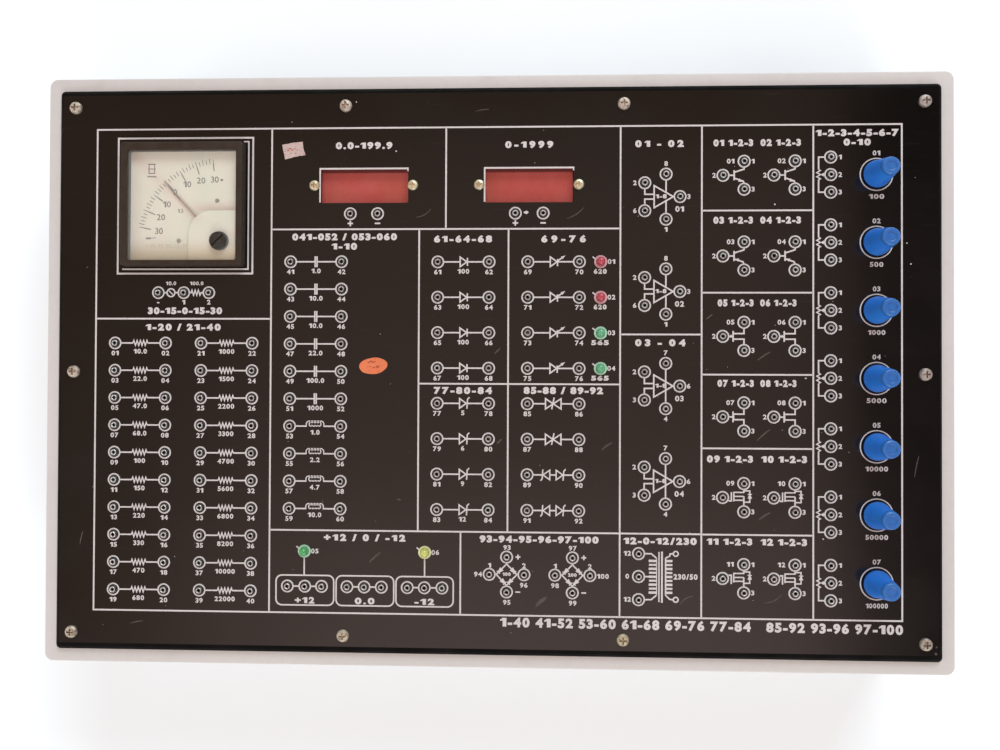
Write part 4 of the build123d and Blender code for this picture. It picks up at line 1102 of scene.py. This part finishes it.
def stroke(x0, y0, x1, y1, w, bend=0.0):
    pts = []
    d = np.array([x1 - x0, y1 - y0])
    nrm = np.array([-d[1], d[0]]) / max(1e-6, np.linalg.norm(d))
    left, right = [], []
    n = 7
    for i in range(n):
        t = i / (n - 1)
        c = np.array([x0, y0]) + d * t + nrm * bend * math.sin(math.pi * t)
        h = w / 2 * (0.25 + 0.75 * math.sin(math.pi * (0.08 + 0.84 * t)))
        left.append(tuple(c + nrm * h))
        right.append(tuple(c - nrm * h))
    SCUFFS_AND_HIGHLIGHTS.flat(left + right, [(i, n + i, n + i + 1, i + 1) for i in range(n - 1)])


STROKES = [
    (-44.6, 89.5, -35.9, 94.5, 0.6, -1.2), (43.5, 88.4, 53.5, 95.0, 0.6, -0.8), (26.3, -136.6, 32.4, -131.4, 2.3, 0.3),
    (64.0, -46.0, 70.0, -41.5, 1.0, 0.3), (3.3, -42.6, 6.0, -40.0, 1.1, 0.0), (1.7, 9.6, 5.0, 13.0, 0.9, 0.0),
    (-70.9, -112.2, -64.6, -106.6, 1.2, 0.2), (154.0, -85.4, 160.5, -81.2, 1.2, 0.3), (153.3, 6.4, 160.6, 11.2, 0.9, 0.2),
    (153.0, -39.8, 160.5, -33.4, 0.9, 0.2), (109.0, -134.5, 117.0, -129.5, 0.8, 1.2), (124.0, 30.0, 127.5, 32.8, 1.0, 0.0),
    (-99.0, -82.5, -98.6, -76.0, 0.7, 0.1), (-55.0, -75.5, -52.5, -75.8, 0.8, 0.0), (157.0, -133.0, 167.0, -128.0, 0.7, -1.4),
    (-241.0, 60.0, -240.2, 61.0, 0.8, 0.0), (50.0, -65.0, 50.2, -60.0, 0.7, 0.0), (-213.0, -150.0, -205.0, -148.4, 0.6, 0.3),
    (-10.0, 151.5, -2.0, 152.6, 0.5, 0.3), (242.0, -60.0, 244.4, -48.0, 0.6, 0.2), (-243.5, -104.0, -241.8, -96.0, 0.6, 0.2),
]
for s in STROKES:
    stroke(*s)
# painted highlights: two lighter marks at the lower right corner of the panel
blob(SCUFFS_AND_HIGHLIGHTS, 254.2, -156.8, 0.6)
blob(SCUFFS_AND_HIGHLIGHTS, 253.9, -160.6, 0.7, 1.2)
SCUFFS_AND_HIGHLIGHTS.make("panel_scuffs_and_highlights", "scuff")

# ---------------------------------------------------------------- dial artwork

DIAL = Print(ZP + 1.70, ZP + 1.76)


def pol(r, a):
    return PVX + r * math.cos(math.radians(a)), PVY + r * math.sin(math.radians(a))


ZERO, STEP = 132.3, 1.21        # degrees at 0, degrees a unit
for v in range(-30, 31, 2):
    a = ZERO - STEP * v
    x0, y0 = pol(47.3, a)
    x1, y1 = pol(50.6 if v % 4 == 0 else 49.8, a)
    DIAL.line(x0, y0, x1, y1, 0.4)
for v in (-30, -20, -10, 0, 10, 20, 30):
    a = ZERO - STEP * v
    x0, y0 = pol(43.0, a)
    x1, y1 = pol(47.4, a)
    DIAL.line(x0, y0, x1, y1, 0.62)
for t, v, r in (("30", -30, 37.9), ("20", -20, 39.3), ("10", -10, 40.0), ("0", 0, 41.3), ("10", 10, 40.6), ("20", 20, 39.2), ("30", 30, 38.0)):
    x, y = pol(r, ZERO - STEP * v)
    if t == "0":
        x, y = -187.2, 104.4
    DIAL.text(t, x, y, 3.5, bold=0.012, gap=0.1)
# moving-coil mark and the bar that marks direct current
DIAL.ribbon([(-202.9, 115.6), (-202.9, 120.9), (-199.6, 120.9), (-199.6, 115.6)], 0.6, closed=True)
DIAL.line(-203.6, 118.2, -198.9, 118.2, 0.5)
DIAL.line(-203.6, 121.0, -198.9, 121.0, 0.6)
DIAL.line(-204.0, 113.8, -198.5, 113.6, 0.8)
DIAL.line(-204.5, 77.2, -201.5, 77.2, 1.0)
DIAL.line(-201.5, 77.3, -198.4, 77.5, 0.35)
DIAL.disc(-159.4, 111.5, 0.8)
DIAL.text("1.5", -183.9, 93.4, 2.2, bold=0.01)
DIAL.make("dial_print", "ink_dial")
FAINT = Print(ZP + 1.70, ZP + 1.74)
FAINT.text("5-10-15-20-25-30", -192.3, 72.6, 2.3, bold=0.01, gap=0.2, wide=25.0 / FAINT.measure("5-10-15-20-25-30", 2.3, 0.01, 0.2, 1.0))
FAINT.make("dial_foot_print", "ink_faint")

# ---------------------------------------------------------------- stuck-on scraps


def curled(name, outline, z, thick, curl, material, seed):
    """A scrap of paper: irregular outline, slightly lifted at the edges, as a closed thin skin."""
    r = random.Random(seed)
    n = len(outline)
    cx = sum(p[0] for p in outline) / n
    cy = sum(p[1] for p in outline) / n
    rings = [0.0, 0.45, 0.75, 0.92, 1.0]
    top, faces = [(cx, cy, z + thick)], []
    for q in rings[1:]:
        for i, (x, y) in enumerate(outline):
            lift = curl * (q ** 6) * (0.4 + 0.6 * r.random())
            top.append((cx + (x - cx) * q, cy + (y - cy) * q, z + thick + lift + 0.02 * r.random()))
    for i in range(n):
        faces.append((0, 1 + i, 1 + (i + 1) % n))
    for k in range(len(rings) - 2):
        a, b = 1 + k * n, 1 + (k + 1) * n
        for i in range(n):
            j = (i + 1) % n
            faces.append((a + i, b + i, b + j, a + j))
    m = len(top)
    bottom = [(x, y, zz - thick) for x, y, zz in top]
    allf = list(faces) + [tuple(reversed([m + i for i in f])) for f in faces]
    rim = 1 + (len(rings) - 2) * n
    for i in range(n):
        j = (i + 1) % n
        allf.append((rim + i, m + rim + i, m + rim + j, rim + j))
    me = bpy.data.meshes.new(name)
    me.from_pydata([(x * MM, (y + Y_SHIFT) * MM, zz * MM) for x, y, zz in top + bottom], [], allf)
    me.materials.append(M[material])
    me.validate()
    me.update()
    for p in me.polygons:
        p.use_smooth = False
    ob = bpy.data.objects.new(name, me)
    SCENE.collection.objects.link(ob)
    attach(ob, "chassis")
    return ob


def torn(pts, step, jitter, seed):
    r = random.Random(seed)
    out = []
    for i in range(len(pts)):
        a, b = np.array(pts[i], float), np.array(pts[(i + 1) % len(pts)], float)
        k = max(1, int(np.linalg.norm(b - a) / step))
        for q in range(k):
            p = a + (b - a) * q / k
            out.append((p[0] + r.uniform(-jitter, jitter), p[1] + r.uniform(-jitter, jitter)))
    return out


curled("paper_scrap", torn([(-124.1, 132.5), (-120.6, 133.1), (-117.5, 133.6), (-111.8, 134.3), (-111.5, 130.5),
                            (-110.2, 126.3), (-113.6, 126.0), (-116.5, 125.3), (-122.2, 123.9), (-123.2, 128.5)][::-1],
                           1.1, 0.12, 3), ZP + 0.02, 0.12, 0.2, "paper_pink", 5)
oval = []
for i in range(48):
    a = 2 * math.pi * i / 48
    oval.append((-69.3 + 8.3 * math.cos(a) * (1 + 0.02 * math.sin(3 * a)), 2.4 + 4.8 * math.sin(a) * (1 + 0.02 * math.cos(5 * a))
                 + 0.07 * (8.3 * math.cos(a))))
curled("paper_oval", oval, ZP + 0.02, 0.10, 0.12, "paper_orange", 6)
MARK = Print(ZP + 0.06, ZP + 0.17)
for x, y, r, sx in ((-2.6, 2.0, 0.45, 1.5), (-1.4, 2.6, 0.55, 1.5), (-0.2, 2.1, 0.5, 1.4), (0.9, 2.5, 0.4, 1.2),
                    (2.6, -0.5, 0.75, 1.3), (0.4, -0.9, 0.4, 1.5), (-1.8, -0.3, 0.3, 1.6)):
    blob(MARK, -69.3 + x, 2.4 + y, r, sx)
for x, y, r, sx in ((-3.2, -0.2, 0.35, 1.6), (-2.0, 0.9, 0.4, 1.6), (-0.6, 0.2, 0.35, 1.8), (0.9, 1.0, 0.3, 1.6), (2.2, 0.2, 0.3, 1.4),
                    (-1.8, -2.0, 0.25, 2.2), (1.2, -1.8, 0.25, 2.2)):
    blob(MARK, -117.2 + x, 129.3 + y, r, sx)
MARK.make("paper_marks", "mark_brown")

# ---------------------------------------------------------------- painted shade at the edge of the panel


def corner_loop(x0, x1, y0, y1, r, z, n=7):
    """A rounded rectangle at height z, mm."""
    out = []
    for cx, cy, a in ((x1 - r, y1 - r, 0), (x0 + r, y1 - r, 90), (x0 + r, y0 + r, 180), (x1 - r, y0 + r, 270)):
        for i in range(n):
            t = math.radians(a + 90.0 * i / (n - 1))
            out.append((cx + r * math.cos(t), cy + r * math.sin(t), z))
    return out


def inset(s, r, z):
    return corner_loop(-258.4 + s, 258.4 - s, -165.9 + s, 165.9 - s, r, z)


# painted shade: a thin near-black skin over the bevel and a strip of the face, standing in for the shadow at the
# panel's edge
loops = [inset(-0.03, 2.63, ZP - 1.98), inset(1.98, 0.7, ZP + 0.03), corner_loop(-256.1, 255.9, -161.8, 162.7, 1.2, ZP + 0.03),
         corner_loop(-256.1, 255.9, -161.8, 162.7, 1.2, ZP - 0.03), inset(2.03, 0.6, ZP - 0.03), inset(0.05, 2.55, ZP - 2.02)]
m = len(loops[0])
faces = []
for a in range(len(loops)):
    b = (a + 1) % len(loops)
    for i in range(m):
        j = (i + 1) % m
        faces.append((a * m + i, a * m + j, b * m + j, b * m + i))
me = bpy.data.meshes.new("panel_edge_shade")
me.from_pydata([(x * MM, (y + Y_SHIFT) * MM, z * MM) for lp in loops for x, y, z in lp], [], faces)
me.materials.append(M["painted_edge_shade"])
me.validate()
me.update()
ob = bpy.data.objects.new("panel_edge_shade", me)
SCENE.collection.objects.link(ob)
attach(ob, "chassis")

# ---------------------------------------------------------------- stage

bpy.ops.mesh.primitive_grid_add(x_subdivisions=12, y_subdivisions=12, size=24.0, location=(0, 0, 0))
floor = bpy.context.object
floor.name = "floor"
floor.data.materials.clear()
floor.data.materials.append(M["floor_pale"])

world = bpy.data.worlds.new("studio")
SCENE.world = world
world.use_nodes = True
wt = world.node_tree
bg = wt.nodes["Background"]


def wn(kind, **kw):
    n = wt.nodes.new(kind)
    for a, b in kw.items():
        setattr(n, a, b)
    return n


def wmath(op, a, b=0.0):
    n = wn("ShaderNodeMath", operation=op)
    for i, v in enumerate((a, b)):
        if isinstance(v, (int, float)):
            n.inputs[i].default_value = v
        else:
            wt.links.new(v, n.inputs[i])
    return n.outputs[0]


def wramp(fac, lo, hi, stops):
    """Piecewise value over lo..hi."""
    m = wn("ShaderNodeMapRange")
    m.inputs["From Min"].default_value = lo
    m.inputs["From Max"].default_value = hi
    wt.links.new(fac, m.inputs["Value"])
    r = wn("ShaderNodeValToRGB")
    r.color_ramp.interpolation = "EASE"
    e = r.color_ramp.elements
    while len(e) > 1:
        e.remove(e[-1])
    for i, (p, v) in enumerate(stops):
        q = (p - lo) / (hi - lo)
        t = e[0] if i == 0 else e.new(q)
        t.position = q
        t.color = (v, v, v, 1)
    wt.links.new(m.outputs["Result"], r.inputs["Fac"])
    return r.outputs["Color"]


# a soft overhead dome: dim and warm above the far edge, brighter above the near edge,
# dark towards the right, even and neutral lower down
wd = wn("ShaderNodeTexCoord").outputs["Generated"]
ws = wn("ShaderNodeSeparateXYZ")
wt.links.new(wd, ws.inputs[0])
up = wmath("MAXIMUM", ws.outputs[2], 0.05)
sx = wmath("DIVIDE", ws.outputs[0], up)
sy = wmath("DIVIDE", ws.outputs[1], up)
ty = wramp(sy, -0.5, 0.5, [(-0.42, 0.98), (-0.294, 0.92), (-0.229, 0.80), (-0.164, 0.61), (-0.099, 0.46), (-0.034, 0.39),
                           (0.096, 0.33), (0.226, 0.29), (0.291, 0.21), (0.356, 0.02), (0.45, 0.0)])
tx = wramp(sx, -0.7, 0.7, [(-0.62, 0.06), (-0.55, 0.20), (-0.44, 0.50), (-0.33, 0.82), (-0.2, 0.95), (0.0, 1.0), (0.6, 1.0)])
right = wramp(sx, 0.0, 0.8, [(0.30, 1.0), (0.38, 0.96), (0.445, 0.16), (0.50, 0.05), (0.62, 0.05), (0.75, 0.5)])
mixc = wn("ShaderNodeMix", data_type="RGBA")
wt.links.new(wmath("MULTIPLY", ty, tx), mixc.inputs["Factor"])
mixc.inputs[6].default_value = (0.33, 0.195, 0.115, 1)
mixc.inputs[7].default_value = (1.52, 1.13, 1.02, 1)
dim = wn("ShaderNodeMix", data_type="RGBA", blend_type="MULTIPLY")
dim.inputs["Factor"].default_value = 1.0
wt.links.new(mixc.outputs[2], dim.inputs[6])
wt.links.new(right, dim.inputs[7])
# blend to the even dome below about fifty degrees up
far = wramp(ws.outputs[2], 0.0, 1.0, [(0.60, 1.0), (0.78, 0.0)])
whole = wn("ShaderNodeMix", data_type="RGBA")
wt.links.new(far, whole.inputs["Factor"])
wt.links.new(dim.outputs[2], whole.inputs[6])
whole.inputs[7].default_value = (0.62, 0.60, 0.585, 1)
wt.links.new(whole.outputs[2], bg.inputs["Color"])
bg.inputs["Strength"].default_value = 1.0


def area(name, loc, target, sx, sy, power, colour=(1, 1, 1)):
    d = bpy.data.lights.new(name, "AREA")
    d.shape = "RECTANGLE"
    d.size, d.size_y = sx, sy
    d.energy = power
    d.color = colour
    o = bpy.data.objects.new(name, d)
    SCENE.collection.objects.link(o)
    o.location = loc
    o.rotation_mode = "QUATERNION"
    o.rotation_quaternion = (Vector(target) - Vector(loc)).to_track_quat("-Z", "Y")
    return o


# large soft boxes low enough to stay out of the panel's own reflection
area("key", (0.55, 1.9, 1.35), (0, 0, 0), 1.6, 0.9, 45, (0.73, 0.90, 1.0))
area("fill", (-1.9, -0.6, 1.1), (0, 0, 0), 0.9, 1.2, 14, (0.76, 0.90, 0.96))
area("front", (0.5, -2.0, 1.2), (0, 0, 0), 1.4, 0.8, 26, (0.76, 0.91, 0.98))

cam_data = bpy.data.cameras.new("camera")
cam = bpy.data.objects.new("camera", cam_data)
SCENE.collection.objects.link(cam)
rv = Vector((-0.00974002, -0.03434793, -0.00386409))
R = Matrix.Rotation(rv.length, 3, rv.normalized())
cam.matrix_world = Matrix.Translation((0.020317, -0.0094735, 0.525779)) @ R.transposed().to_4x4()
cam_data.lens = 27.691
cam_data.sensor_width = 36.0
cam_data.clip_start = 0.01
cam_data.clip_end = 50.0
SCENE.camera = cam

SCENE.view_settings.view_transform = "Standard"
SCENE.view_settings.look = "None"
